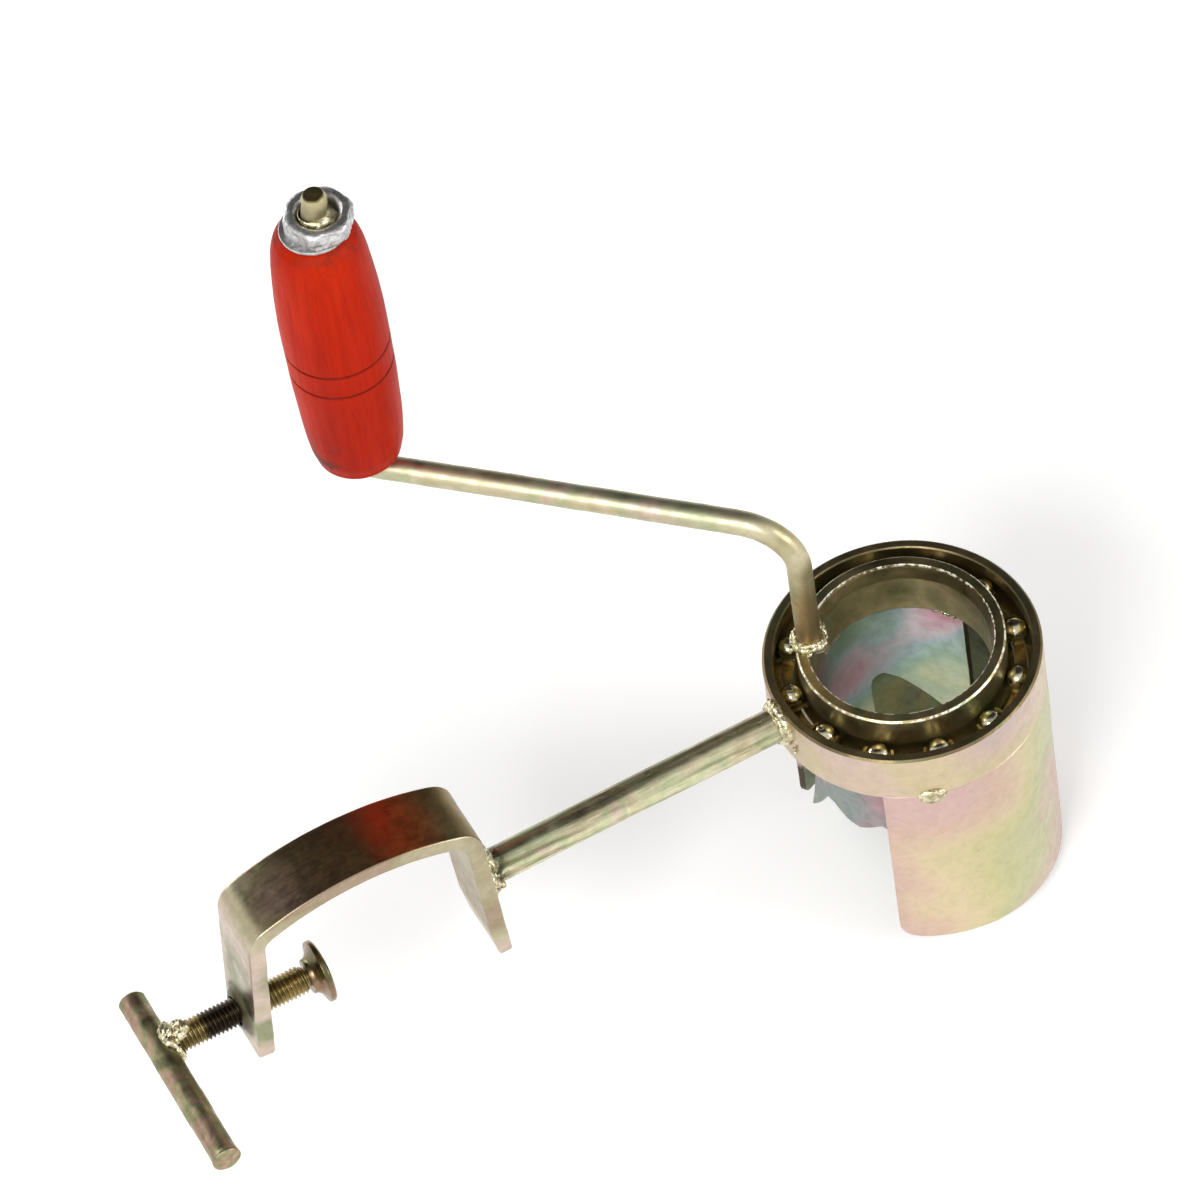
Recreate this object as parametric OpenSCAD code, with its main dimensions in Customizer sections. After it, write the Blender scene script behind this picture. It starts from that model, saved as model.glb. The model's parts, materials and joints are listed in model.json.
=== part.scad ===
// Hand-cranked corn sheller for a table edge. Millimetres. Origin: bearing axis at the
// outer ring's top face. +Z up along the bearing axis, -X from the bearing to the clamp.

/* [Bearing] */
// outside diameter of the bearing
brg_od = 95; // [80:1:120]
// bore of the inner ring, the way the cob goes
brg_bore = 60; // [50:1:80]
// width of each ring
brg_w = 20; // [14:1:26]
// how far the inner ring stands above the outer ring
inner_proud = 6; // [0:0.5:9]
// level of the inner ring's lower face
inner_z0 = -16.5; // [-22:0.5:-14]
// outside diameter of the inner ring
inner_od = 71; // [64:0.5:76]
// inside diameter of the outer ring
outer_id = 87.6; // [80:0.2:92]
// radius of the outer ring's shoulder below the balls
outer_low = 41.9; // [40:0.1:44]
// radius of the inner ring's shoulder below the balls
inner_low = 37.2; // [35:0.1:39]
// ball diameter
ball_d = 8.73; // [7:0.01:12]
// level of the ball centres
ball_z = -7.6; // [-12:0.1:-6]
// number of balls
ball_n = 12; // [8:1:16]
// angle of the first ball
ball_phase = -11; // [-30:1:30]
// clearance between a ball and its groove
ball_gap = 0.3; // [0.1:0.05:0.5]
// thickness of the ball cage
cage_t = 0.9; // [0.5:0.1:1.2]

/* [Stripper sleeve] */
// outside diameter of the toothed sleeve
sleeve_od = 66.4; // [62:0.2:72]
// sheet thickness of the sleeve
sleeve_t = 2.4; // [1.5:0.1:4]
// level of the tooth tips
tip_z = -76; // [-90:1:-60]
// level of the gullets between the teeth
root_z = -50.5; // [-60:0.5:-35]
// angle where the sleeve starts
sleeve_a0 = 22.5; // [0:0.5:45]
// angle from one tooth to the next
tooth_pitch = 67.3; // [50:0.1:80]
// angle the rolled sleeve covers
sleeve_span = 312; // [200:1:340]

/* [Shroud] */
// sheet thickness of the shroud
shroud_t = 2.5; // [1.5:0.1:4]
// length of the shroud below the outer ring
shroud_len = 84.5; // [60:0.5:120]
// half of the angle the shroud covers
shroud_half = 128.5; // [90:0.5:170]
// slope of the shroud's cut end, towards the clamp and across it
shroud_skew = [4.2, 3]; // [0:0.1:8]
// radius of the window's lower corners
shroud_corner = 6; // [1:0.5:12]
// places of the tack welds round the ring
tack_at = [-108, -8, 48, 106]; // [-128:1:128]

/* [Crank] */
// diameter of the crank rod
rod_d = 8.6; // [6:0.1:12]
// radius at which the crank stands on the inner ring
crank_r = 30.8; // [30:0.1:35]
// angle of the crank's foot around the bearing
crank_a = 148.9; // [0:0.1:360]
// height of the crank arm's axis
arm_z = 64.9; // [40:0.1:90]
// direction of the crank arm
arm_dir = 136.7; // [90:0.1:200]
// distance from the foot to the grip's axis
arm_len = 150.6; // [100:0.1:200]
// bend radius at the foot
bend_foot = 19; // [10:0.5:30]
// bend radius under the grip
bend_grip = 5.6; // [4.8:0.1:20]
// level of the crank pin's end
pin_top = 202.2; // [150:0.1:230]

/* [Grip] */
// level of the grip's lower end
grip_z0 = 71.7; // [60:0.1:90]
// length of the wooden grip
grip_len = 114.2; // [80:0.1:140]
// largest diameter of the grip
grip_d = 35.6; // [28:0.1:42]
// diameter at the grip's upper shoulder
grip_d_top = 31.6; // [24:0.1:40]
// diameter at the grip's lower shoulder
grip_d_bot = 29; // [22:0.1:38]
// heights of the two turned grooves above the grip's foot
groove_h = [49.2, 59.4]; // [30:0.1:80]
// running clearance between the grip and its pin
run_gap = 0.08; // [0.02:0.01:0.1]
// width across the flats of the nut
nut_af = 21.4; // [18:0.1:26]
// thickness of the nut
nut_t = 6.6; // [4:0.1:12]
// hole through the nut
nut_hole = 14.2; // [10:0.1:16]
// how far the welded nut sits off the pin's axis
nut_off = [2.2, -0.4]; // [-2:0.1:2]

/* [Connecting rod] */
// diameter of the rod between the bearing and the clamp
link_d = 12.2; // [8:0.1:16]
// level of the rod's axis
link_z = -7.2; // [-12:0.1:-5]
// how much lower the rod's clamp end is
link_drop = 3.4; // [0:0.1:6]

/* [Clamp] */
// width of the clamp strip
strip_w = 25; // [20:1:40]
// thickness of the clamp strip
strip_t = 6; // [3:0.5:8]
// outside radius of the bowed back
bow_r = 98; // [60:1:150]
// radius of the strip's corners on the middle line
corner_r = 7.5; // [6:0.5:15]
// how much thinner the fixed leg's tip is
tip_thin = 1.3; // [0:0.1:3]
// height of the drawn collar round the screw hole
collar_h = 2.4; // [1:0.1:6]
// diameter of the clamp screw
screw_d = 10; // [8:1:12]
// level of the clamp screw's axis
screw_z = -21.5; // [-30:0.5:-15]
// ends of the clamp screw
screw_x = [-278.2, -225.5]; // [-300:0.1:-200]
// diameter of the T-bar
tbar_d = 9.4; // [8:0.1:12]
// ends of the T-bar across the clamp
tbar_y = [-52.4, 22.6]; // [-60:1:60]
// diameter of the pressure pad
pad_d = 22; // [16:0.5:30]

/* [Hidden] */
$fn = 96;
brg_r = brg_od/2;
pitch_r = (inner_od + outer_id)/4;
ball_r = ball_d/2;
groove_r = ball_r + ball_gap;
inner_z1 = inner_proud;
sleeve_ro = sleeve_od/2;
sleeve_ri = sleeve_ro - sleeve_t;
foot = [crank_r*cos(crank_a), crank_r*sin(crank_a)];
arm_u = [cos(arm_dir), sin(arm_dir)];
grip_xy = foot + arm_len*arm_u;
grip_z1 = grip_z0 + grip_len;
washer_t = 1.2;
nut_z0 = grip_z1 + 0.3 + washer_t;
bow_c = [-205.5, 36 - bow_r];
bow_m = bow_r - strip_t/2;
leg_r_p = [-165.5, 18];
leg_r_end = [-162.4, -41.6];
leg_l_p = [-246.4, 17];
leg_l_end = [-250.9, -35.4];
leg_r_u = unit(leg_r_end - leg_r_p);
leg_l_u = unit(leg_l_end - leg_l_p);
leg_r_n = [leg_r_u[1], -leg_r_u[0]];
leg_l_n = [-leg_l_u[1], leg_l_u[0]];
corner_rc = corner_centre(leg_r_p, leg_r_u, leg_r_n);
corner_lc = corner_centre(leg_l_p, leg_l_u, leg_l_n);
leg_r_a = atan2(-leg_r_n[1], -leg_r_n[0]);
leg_l_a = atan2(-leg_l_n[1], -leg_l_n[0]);
bow_ra = dir_a(corner_rc - bow_c);
bow_la = dir_a(corner_lc - bow_c);
leg_l_x = leg_l_p[0] + leg_l_u[0]*(screw_z - leg_l_p[1])/leg_l_u[1];
link_x = leg_r_p[0] + leg_r_u[0]*(link_z - link_drop - leg_r_p[1])/leg_r_u[1];
link_len = norm([link_x + brg_r, link_drop]);
link_tilt = atan2(link_drop, -link_x - brg_r);

function unit(v) = v/norm(v);
function dir_a(v) = atan2(v[1], v[0]);
function corner_s(d, u) = -(d*u) - sqrt((d*u)*(d*u) - d*d + (bow_m - corner_r)*(bow_m - corner_r));
function corner_centre(p, u, n) = p + corner_r*n + corner_s(p + corner_r*n - bow_c, u)*u;

corner_n = 12;
bow_n = 22;
strip_n = 2*corner_n + bow_n + 3;
function on_arc(c, r, a) = c + r*[cos(a), sin(a)];
function strip_side(d) = concat(
  [leg_r_end - d*leg_r_n],
  [for (i = [0:corner_n]) on_arc(corner_rc, corner_r + d, leg_r_a + (bow_ra - leg_r_a)*i/corner_n)],
  [for (i = [1:bow_n - 1]) on_arc(bow_c, bow_m + d, bow_ra + (bow_la - bow_ra)*i/bow_n)],
  [for (i = [0:corner_n]) on_arc(corner_lc, corner_r + d, bow_la + (leg_l_a - bow_la)*i/corner_n)],
  [leg_l_end - d*leg_l_n]);

// part to draw

module at_balls() {
  for (i = [0:ball_n - 1]) {
    rotate([0, 0, ball_phase + i*360/ball_n]) translate([pitch_r, 0, ball_z]) children();
  }
}

module tube(ro, ri, z0, z1) {
  rotate_extrude() translate([ri, z0]) square([ro - ri, z1 - z0]);
}

module outer_race() {
  color([0.55, 0.5, 0.4]) rotate_extrude() difference() {
    polygon([[outer_id/2 + 0.5, 0], [brg_r - 0.8, 0], [brg_r, -0.8], [brg_r, -brg_w],
      [outer_low + 0.6, -brg_w], [outer_low, -brg_w + 0.6], [outer_low, ball_z],
      [outer_id/2, ball_z], [outer_id/2, -0.5]]);
    translate([pitch_r, ball_z]) circle(groove_r);
  }
}

module inner_race() {
  color([0.6, 0.55, 0.42]) rotate_extrude() difference() {
    polygon([[brg_bore/2 + 1.75, inner_z1], [inner_od/2 - 0.7, inner_z1], [inner_od/2, inner_z1 - 0.7],
      [inner_od/2, ball_z], [inner_low, ball_z], [inner_low, inner_z0 + 0.6],
      [inner_low - 0.6, inner_z0], [brg_bore/2 + 0.8, inner_z0],
      [brg_bore/2, inner_z0 + 0.8], [brg_bore/2, inner_z1 - 5.5], [brg_bore/2 + 1.3, inner_z1 - 1.2]]);
    translate([pitch_r, ball_z]) circle(groove_r);
  }
}

module bearing_balls() {
  color([0.75, 0.74, 0.7]) at_balls() sphere(ball_r);
}

module bearing_cage() {
  cage_h = 1.8;
  cup = ball_r + 0.25;
  low = ball_z - cup - cage_t;
  color([0.7, 0.6, 0.35]) difference() {
    union() {
      tube(pitch_r + cage_h, pitch_r - cage_h, low, low + 1.2);
      intersection() {
        at_balls() sphere(cup + cage_t);
        tube(pitch_r + cage_h, pitch_r - cage_h, low, ball_z + 1.6);
      }
    }
    at_balls() sphere(cup);
  }
}

module shroud_corner_cut(s) {
  zc = -brg_w - shroud_len - brg_r*cos(shroud_half)*tan(shroud_skew[0])
    - s*brg_r*sin(shroud_half)*tan(shroud_skew[1]);
  rotate([0, 0, s*shroud_half]) translate([brg_r - 10, -s*shroud_corner, zc])
    rotate([90, 0, 90]) linear_extrude(20) difference() {
      translate([s > 0 ? 0 : -9, -9]) square([9, shroud_corner + 9]);
      translate([0, shroud_corner]) circle(shroud_corner);
    }
}

module shroud() {
  color([0.84, 0.76, 0.66]) difference() {
    rotate([0, 0, -shroud_half]) rotate_extrude(angle = 2*shroud_half)
      translate([brg_r - shroud_t, -brg_w - shroud_len - 6]) square([shroud_t, shroud_len + 6]);
    translate([0, 0, -brg_w - shroud_len]) rotate([-shroud_skew[1], shroud_skew[0], 0])
      translate([-80, -80, -40]) cube([160, 160, 40]);
    shroud_corner_cut(1);
    shroud_corner_cut(-1);
  }
}

module shroud_welds() {
  color([0.8, 0.76, 0.66]) for (a = tack_at) {
    difference() {
      rotate([0, 0, a]) translate([brg_r, 0, -brg_w]) rotate([0, 90, 0]) rotate_extrude()
        polygon([[0, -1], [5.3, -1], [5.3, 0.1], [4.4, 0.8], [2.6, 1.35], [0, 1.55]]);
      translate([0, 0, -brg_w - 12]) cylinder(r = brg_r, h = 24, $fn = 400);
    }
  }
}

module gullet(a0, a1, tip_a) {
  am = (a0 + a1)/2;
  function p(a, z) = [sleeve_ro*sin(a - am), z];
  rotate([0, 0, am]) translate([sleeve_ri - 8, 0, 0]) rotate([90, 0, 90]) linear_extrude(16)
    polygon([p(a0 + tip_a - 5, tip_z - 5), p(a0 + tip_a + 14, tip_z*0.72 + root_z*0.28),
      p(a1 - 20, tip_z*0.18 + root_z*0.82), p(a1 - 9, root_z), p(a1 - 4, root_z - 0.3),
      p(a1 - 1.3, root_z - 1.6), p(a1, root_z - 4.5), p(a1, tip_z - 5)]);
}

module blunt_gullet(a0, a1) {
  am = (a0 + a1)/2;
  function p(a, z) = [sleeve_ro*sin(a - am), z];
  rotate([0, 0, am]) translate([sleeve_ri - 8, 0, 0]) rotate([90, 0, 90]) linear_extrude(16)
    polygon([p(a0 + 3, tip_z - 5), p(a0 + 10, tip_z + 5), p(a0 + 20, tip_z + 14.5),
      p(a0 + 26, tip_z + 15), p(a0 + 33, tip_z + 11), p(a0 + 39, tip_z + 9.2), p(a0 + 46, tip_z + 9.4),
      p(a1 - 12, tip_z + 14), p(a1 - 3, tip_z + 18), p(a1, tip_z + 17), p(a1, tip_z - 5)]);
}

module stripper_sleeve() {
  color([0.75, 0.72, 0.68]) difference() {
    rotate([0, 0, sleeve_a0]) rotate_extrude(angle = sleeve_span)
      translate([sleeve_ri, tip_z]) square([sleeve_t, inner_z0 - tip_z]);
    gullet(sleeve_a0, sleeve_a0 + tooth_pitch, 9);
    gullet(sleeve_a0 + tooth_pitch, sleeve_a0 + 2*tooth_pitch, 9);
    blunt_gullet(sleeve_a0 + 2*tooth_pitch, sleeve_a0 + 3*tooth_pitch);
    gullet(sleeve_a0 + 3*tooth_pitch, sleeve_a0 + 4*tooth_pitch, 9);
  }
}

module sleeve_welds() {
  color([0.8, 0.78, 0.72]) difference() {
    for (a = [36, 118, 196, 262, 322]) {
      rotate([0, 0, a - 9]) rotate_extrude(angle = 18) translate([sleeve_ro, inner_z0]) circle(1.5);
    }
    tube(inner_od/2 + 8, brg_bore/2 - 2, inner_z0, inner_z0 + 10);
    tube(sleeve_ro, sleeve_ri - 4, inner_z0 - 10, inner_z0 + 1);
  }
}

module rod_arc(c, r, a0, da) {
  translate([c[0], c[1]]) rotate([0, 0, a0]) rotate_extrude(angle = da) translate([r, 0]) circle(rod_d/2);
}

module crank_rod() {
  color([0.72, 0.68, 0.58]) translate([foot[0], foot[1], 0]) rotate([0, 0, arm_dir]) rotate([90, 0, 0])
    union() {
      translate([0, inner_z1]) rotate([-90, 0, 0]) cylinder(d = rod_d, h = arm_z - bend_foot - inner_z1);
      rod_arc([bend_foot, arm_z - bend_foot], bend_foot, 90, 90);
      translate([bend_foot, arm_z]) rotate([0, 90, 0])
        cylinder(d = rod_d, h = arm_len - bend_foot - bend_grip);
      rod_arc([arm_len - bend_grip, arm_z + bend_grip], bend_grip, 270, 90);
      translate([arm_len, arm_z + bend_grip]) rotate([-90, 0, 0]) {
        cylinder(d = rod_d, h = pin_top - arm_z - bend_grip - 1.5);
        translate([0, 0, pin_top - arm_z - bend_grip - 1.5])
          cylinder(d1 = rod_d, d2 = rod_d - 2, h = 1.5);
      }
    }
}

module crank_weld() {
  color([0.78, 0.74, 0.62]) union() {
    difference() {
      translate([foot[0], foot[1], inner_z1]) rotate_extrude() difference() {
        polygon([[rod_d/2, 0], [rod_d/2 + 2.6, 0], [rod_d/2 + 2.3, 1.2], [rod_d/2 + 0.9, 3.4],
          [rod_d/2, 4.2]]);
        translate([rod_d/2 + 4.6, 4.9]) circle(3.4);
      }
      translate([0, 0, inner_z1 - 1]) tube(60, inner_od/2 + 0.1, 0, 9);
    }
    difference() {
      translate([foot[0], foot[1], inner_z1 - 2]) cylinder(r = rod_d/2 + 1.6, h = 2);
      rotate_extrude() polygon([[brg_bore/2 + 1.3*2.5/4.3, inner_z1 - 3], [brg_bore/2 + 1.3, inner_z1 - 1.2],
        [brg_bore/2 + 1.75, inner_z1], [60, inner_z1], [60, inner_z1 - 3]]);
    }
  }
}

module grip() {
  b = rod_d/2 + run_gap;
  h = grip_len;
  color([0.85, 0.16, 0.06]) translate([grip_xy[0], grip_xy[1], grip_z0]) rotate_extrude() difference() {
    intersection() {
      translate([b, 0]) square([60, h]);
      polygon([[b, 0], [grip_d_bot/2 - 3.6, 0], [grip_d_bot/2 - 1.4, 0.9], [grip_d_bot/2, 2.8],
        [grip_d_bot/2 + 1.4, 9], [grip_d_bot/2 + 2.1, 17], [grip_d/2 - 0.6, 30], [grip_d/2 - 0.1, 42],
        [grip_d/2, 52], [grip_d/2 + 0.1, 62], [grip_d/2 + 0.05, 72], [grip_d/2 - 0.3, 82],
        [grip_d/2 - 0.8, 90], [grip_d/2 - 1.45, 99], [grip_d_top/2, h - 10],
        [grip_d_top/2 - 0.7, h - 6], [grip_d_top/2 - 1.9, h - 2.8], [grip_d_top/2 - 3.4, h - 0.8],
        [grip_d_top/2 - 4.8, h], [b, h]]);
    }
    for (g = groove_h) translate([grip_d/2 + 0.22, g]) circle(0.7, $fn = 24);
  }
}

module grip_washer_lower() {
  color([0.7, 0.68, 0.6]) translate([grip_xy[0], grip_xy[1], grip_z0 - 1.1]) tube(8.5, rod_d/2, 0, 0.8);
}

module grip_washer_upper() {
  color([0.75, 0.75, 0.73]) translate([grip_xy[0], grip_xy[1], nut_z0 - washer_t])
    tube(11.6, rod_d/2, 0, washer_t);
}

module spindle_nut() {
  color([0.8, 0.81, 0.82]) translate([grip_xy[0] + nut_off[0], grip_xy[1] + nut_off[1], nut_z0])
    rotate([0, 0, -8]) difference() {
      intersection() {
        cylinder(d = nut_af/cos(30), h = nut_t, $fn = 6);
        rotate_extrude() polygon([[0, 0], [nut_af/2 + 1.0, 0], [nut_af/2 + 2, 0.7],
          [nut_af/2 + 2, nut_t - 1.2], [nut_af/2 - 0.2, nut_t], [0, nut_t]]);
      }
      translate([0, 0, -1]) cylinder(d = nut_hole, h = nut_t + 2);
      translate([0, 0, nut_t - 0.9]) cylinder(d1 = nut_hole, d2 = nut_hole + 2, h = 1);
    }
}

module nut_weld() {
  color([0.62, 0.56, 0.42]) translate([grip_xy[0], grip_xy[1], nut_z0]) difference() {
    intersection() {
      rotate_extrude() difference() {
        polygon([[0, 0], [nut_hole/2 + 2.4, 0], [nut_hole/2 + 2.4, 1.8], [nut_hole/2 - 1.3, 1.8],
          [rod_d/2 + 1.3, 2.8], [rod_d/2, 5.6], [0, 5.6]]);
        translate([rod_d/2 + 3.2, 5.8]) circle(2.6);
      }
      translate([nut_off[0], nut_off[1], -1]) cylinder(d = nut_hole - 0.1, h = 8);
    }
    translate([0, 0, -1]) cylinder(d = rod_d, h = 20);
  }
}

module along_link(s) {
  translate([-brg_r, 0, link_z]) rotate([0, -90 - link_tilt, 0]) translate([0, 0, s]) children();
}

module connecting_rod() {
  color([0.74, 0.71, 0.6]) difference() {
    along_link(-7) cylinder(d = link_d, h = link_len + 7);
    translate([0, 0, -brg_w]) cylinder(r = brg_r, h = 3*brg_w);
    leg(leg_r_p, leg_r_u, leg_r_a, -40, 60);
  }
}

module rod_weld_bearing() {
  color([0.8, 0.76, 0.64]) difference() {
    along_link(-1) cylinder(r1 = link_d/2 + 3.2, r2 = link_d/2 + 0.4, h = 5);
    along_link(-12) cylinder(d = link_d, h = 40);
    translate([0, 0, -brg_w]) cylinder(r = brg_r, h = 3*brg_w);
    translate([-90, -20, -0.6]) cube([60, 40, 10]);
  }
}

module rod_weld_clamp() {
  color([0.8, 0.76, 0.64]) difference() {
    along_link(link_len - 7) cylinder(r1 = link_d/2 + 0.4, r2 = link_d/2 + 3.4, h = 5.4);
    along_link(link_len - 30) cylinder(d = link_d, h = 40);
    leg(leg_r_p, leg_r_u, leg_r_a, -40, 60);
  }
}

module leg(p, u, a, s0, s1) {
  translate([p[0], 0, p[1]]) rotate([0, -a + (a > 90 ? 180 : 0), 0])
    translate([-strip_t/2, -strip_w/2, -s1]) cube([strip_t, strip_w, s1 - s0]);
}

module clamp_frame() {
  tip = [leg_r_end - 13*leg_r_u + strip_t/2*leg_r_n, leg_r_end + (strip_t/2 - tip_thin)*leg_r_n];
  color([0.6, 0.56, 0.44]) difference() {
    union() {
      rotate([90, 0, 0]) linear_extrude(strip_w, center = true) polygon(concat(strip_side(strip_t/2),
        [for (p = [1:strip_n - 1]) strip_side(-strip_t/2)[strip_n - p]], tip));
      translate([leg_l_x - strip_t/2 - collar_h, 0, screw_z]) rotate([0, 90, 0])
        cylinder(r1 = screw_d/2 + 1.6, r2 = screw_d/2 + 4, h = collar_h + 1.2);
    }
    translate([leg_l_x - 12, 0, screw_z]) rotate([0, 90, 0]) cylinder(r = screw_d/2 + run_gap, h = 24);
  }
}

module clamp_screw() {
  color([0.62, 0.52, 0.3]) translate([screw_x[0], 0, screw_z]) rotate([0, 90, 0]) {
    cylinder(d = screw_d, h = screw_x[1] - screw_x[0] - 3.4);
    translate([0, 0, screw_x[1] - screw_x[0] - 3.4]) cylinder(d = 6.4, h = 4.4);
  }
}

module screw_pad() {
  color([0.72, 0.67, 0.5]) translate([screw_x[1], 0, screw_z]) rotate([0, 90, 0])
    rotate_extrude() difference() {
      polygon([[3.2 + run_gap, -2.6], [6.2, -2.6], [6.2, -1.2], [pad_d/2 - 1.4, 0.6], [pad_d/2, 1.2],
        [pad_d/2, 2.8], [pad_d/2 - 0.7, 3.5], [0, 3.5], [0, 1.3], [3.2 + run_gap, 1.3]]);
      translate([pad_d/2 - 0.4, -3.4]) circle(4.1);
    }
}

module t_bar() {
  color([0.58, 0.5, 0.42]) translate([screw_x[0] - tbar_d/2, 0, screw_z]) rotate([-90, 0, 0])
    rotate_extrude() polygon([[0, tbar_y[0]], [tbar_d/2 - 0.3, tbar_y[0]], [tbar_d/2 + 0.3, tbar_y[0] + 0.4],
      [tbar_d/2 + 0.3, tbar_y[0] + 1], [tbar_d/2, tbar_y[0] + 2.2], [tbar_d/2, tbar_y[1] - 0.7],
      [tbar_d/2 - 0.7, tbar_y[1]], [0, tbar_y[1]]]);
}

module t_bar_weld() {
  color([0.8, 0.76, 0.66]) difference() {
    union() {
      translate([screw_x[0] - 3, 0, screw_z]) rotate([0, 90, 0])
        cylinder(r1 = screw_d/2 + 2.6, r2 = screw_d/2 + 0.4, h = 6);
      translate([screw_x[0] + 1.2, 0, screw_z + 2.3]) rotate([0, 90, 0]) rotate_extrude()
        polygon([[0, -5.6], [2.4, -5.2], [4.1, -3.2], [4.9, -0.4], [4.6, 2.4], [3.4, 4.8], [0, 5.6]]);
    }
    translate([screw_x[0] - tbar_d/2, 0, screw_z]) rotate([90, 0, 0])
      cylinder(d = tbar_d, h = 60, center = true);
    translate([screw_x[0] - 2, 0, screw_z]) rotate([0, 90, 0]) cylinder(d = screw_d, h = 20);
  }
}

outer_race();
inner_race();
bearing_balls();
bearing_cage();
shroud();
shroud_welds();
stripper_sleeve();
sleeve_welds();
crank_rod();
crank_weld();
grip();
grip_washer_lower();
grip_washer_upper();
spindle_nut();
nut_weld();
connecting_rod();
rod_weld_bearing();
rod_weld_clamp();
clamp_frame();
clamp_screw();
screw_pad();
t_bar();
t_bar_weld();
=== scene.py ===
import bpy
import bmesh
import json
import math
import numpy as np
from mathutils import Matrix, Vector
from mathutils.geometry import delaunay_2d_cdt


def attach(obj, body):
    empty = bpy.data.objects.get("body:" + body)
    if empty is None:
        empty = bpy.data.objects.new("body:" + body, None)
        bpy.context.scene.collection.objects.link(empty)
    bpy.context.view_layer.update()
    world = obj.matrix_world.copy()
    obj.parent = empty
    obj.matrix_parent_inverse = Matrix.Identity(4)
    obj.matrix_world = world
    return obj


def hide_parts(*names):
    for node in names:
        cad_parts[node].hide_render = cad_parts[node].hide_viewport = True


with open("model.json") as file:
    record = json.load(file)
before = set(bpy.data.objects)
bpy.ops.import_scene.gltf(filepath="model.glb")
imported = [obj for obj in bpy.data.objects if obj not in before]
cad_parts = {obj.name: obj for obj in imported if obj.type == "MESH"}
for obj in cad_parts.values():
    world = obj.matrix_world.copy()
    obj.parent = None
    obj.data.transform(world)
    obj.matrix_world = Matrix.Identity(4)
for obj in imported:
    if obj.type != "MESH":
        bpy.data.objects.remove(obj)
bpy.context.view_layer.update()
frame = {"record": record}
RECORD = frame["record"]
BODY = {n: b for b, ns in RECORD["behaviour"]["bodies"].items() for n in ns}

# ---------------------------------------------------------------- sizes, mm and degrees
# outer ring: radius, height; then radii of bore, ring edges and low shoulders
R, W = 47.5, 20.0
BORE, IN_R, OUT_R, IN_LOW, OUT_LOW = 30.0, 35.5, 43.8, 37.2, 41.9
# inner ring's levels; ball circle, ball radius, ball level, first ball's angle
INNER_Z0, INNER_Z1 = -16.5, 6.0
PITCH, BALL, BALL_Z, PHASE = 39.65, 4.365, -7.6, -11.0
# sleeve: radius, sheet, tooth tips, gullets, first angle, tooth pitch, span
SL_RO, SL_T, TIP, ROOT, SL_A0, TOOTH_PITCH, SL_SPAN = 33.2, 2.4, -76.0, -50.5, 22.5, 67.3, 312.0
# shroud: sheet, length, half angle, slopes of its end, corner radius
SH_T, SH_L, SH_H, SKEW_X, SKEW_Y, SH_C = 2.5, 84.5, 128.5, 4.2, 3.0, 6.0
# crank: rod radius, foot, arm's direction, length, level, bend radii, pin's end
ROD = 4.3
FOOT_A = math.radians(148.9)
FOOT = 30.8 * np.array([math.cos(FOOT_A), math.sin(FOOT_A)])
ARM_U = np.array([math.cos(math.radians(136.7)), math.sin(math.radians(136.7))])
ARM_L, ARM_Z, BEND_FOOT, BEND_GRIP, PIN_TOP = 150.6, 64.9, 19.0, 5.6, 202.2
# grip: axis, lower end, length, scored lines above it, upper end, bore radius; nut's place
GRIP = FOOT + ARM_L * ARM_U
GRIP_Z0, GRIP_LEN, GROOVES = 71.7, 114.2, (49.2, 59.4)
GRIP_Z1 = GRIP_Z0 + GRIP_LEN
GRIP_BORE = 4.38
NUT_Z0 = GRIP_Z1 + 1.5
NUT = GRIP + [2.2, -0.4]
# connecting rod: radius, level, fall; screw: level, both ends along x
LINK, LINK_Z, DROP = 6.1, -7.2, 3.4
SCREW_Z, SCREW_X0, SCREW_X1 = -21.5, -278.2, -225.5


# ---------------------------------------------------------------- geometry helpers
def fnoise(P, freq, seed, n=24):
    """Smooth random field of about unit height; P in mm, freq in waves per mm."""
    g = np.random.default_rng(seed)
    d = g.normal(size=(n, 3))
    d /= np.linalg.norm(d, axis=1)[:, None]
    k = d * (freq * 2 * math.pi * (0.6 + 0.8 * g.random((n, 1))))
    return np.cos(np.asarray(P) @ k.T + g.random(n) * 2 * math.pi).sum(1) / math.sqrt(n / 2)


def make(name, V, F, material, nodes=(), body=None, weighted=True, smooth=True):
    me = bpy.data.meshes.new(name)
    me.from_pydata((np.asarray(V, float) * 0.001).tolist(), [], F)
    bm = bmesh.new()
    bm.from_mesh(me)
    bmesh.ops.remove_doubles(bm, verts=bm.verts, dist=2e-7)
    bmesh.ops.dissolve_degenerate(bm, edges=bm.edges, dist=1e-7)
    bmesh.ops.recalc_face_normals(bm, faces=bm.faces)
    bm.to_mesh(me)
    bm.free()
    me.validate()
    o = bpy.data.objects.new(name, me)
    bpy.context.scene.collection.objects.link(o)
    me.materials.append(material)
    if smooth:
        me.shade_smooth()
    if weighted:
        m = o.modifiers.new("normals", "WEIGHTED_NORMAL")
        m.keep_sharp = True
        m.weight = 60
    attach(o, body or BODY[nodes[0]])
    if nodes:
        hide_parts(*nodes)
    return o


def grid_faces(nu, nv, cu, cv):
    """Quads over nu by nv points, closed round in either way."""
    F = []
    for i in range(nu if cu else nu - 1):
        for j in range(nv if cv else nv - 1):
            a = i * nv + j
            b = ((i + 1) % nu) * nv + j
            c = ((i + 1) % nu) * nv + (j + 1) % nv
            d = i * nv + (j + 1) % nv
            F.append((a, b, c, d))
    return F


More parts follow.
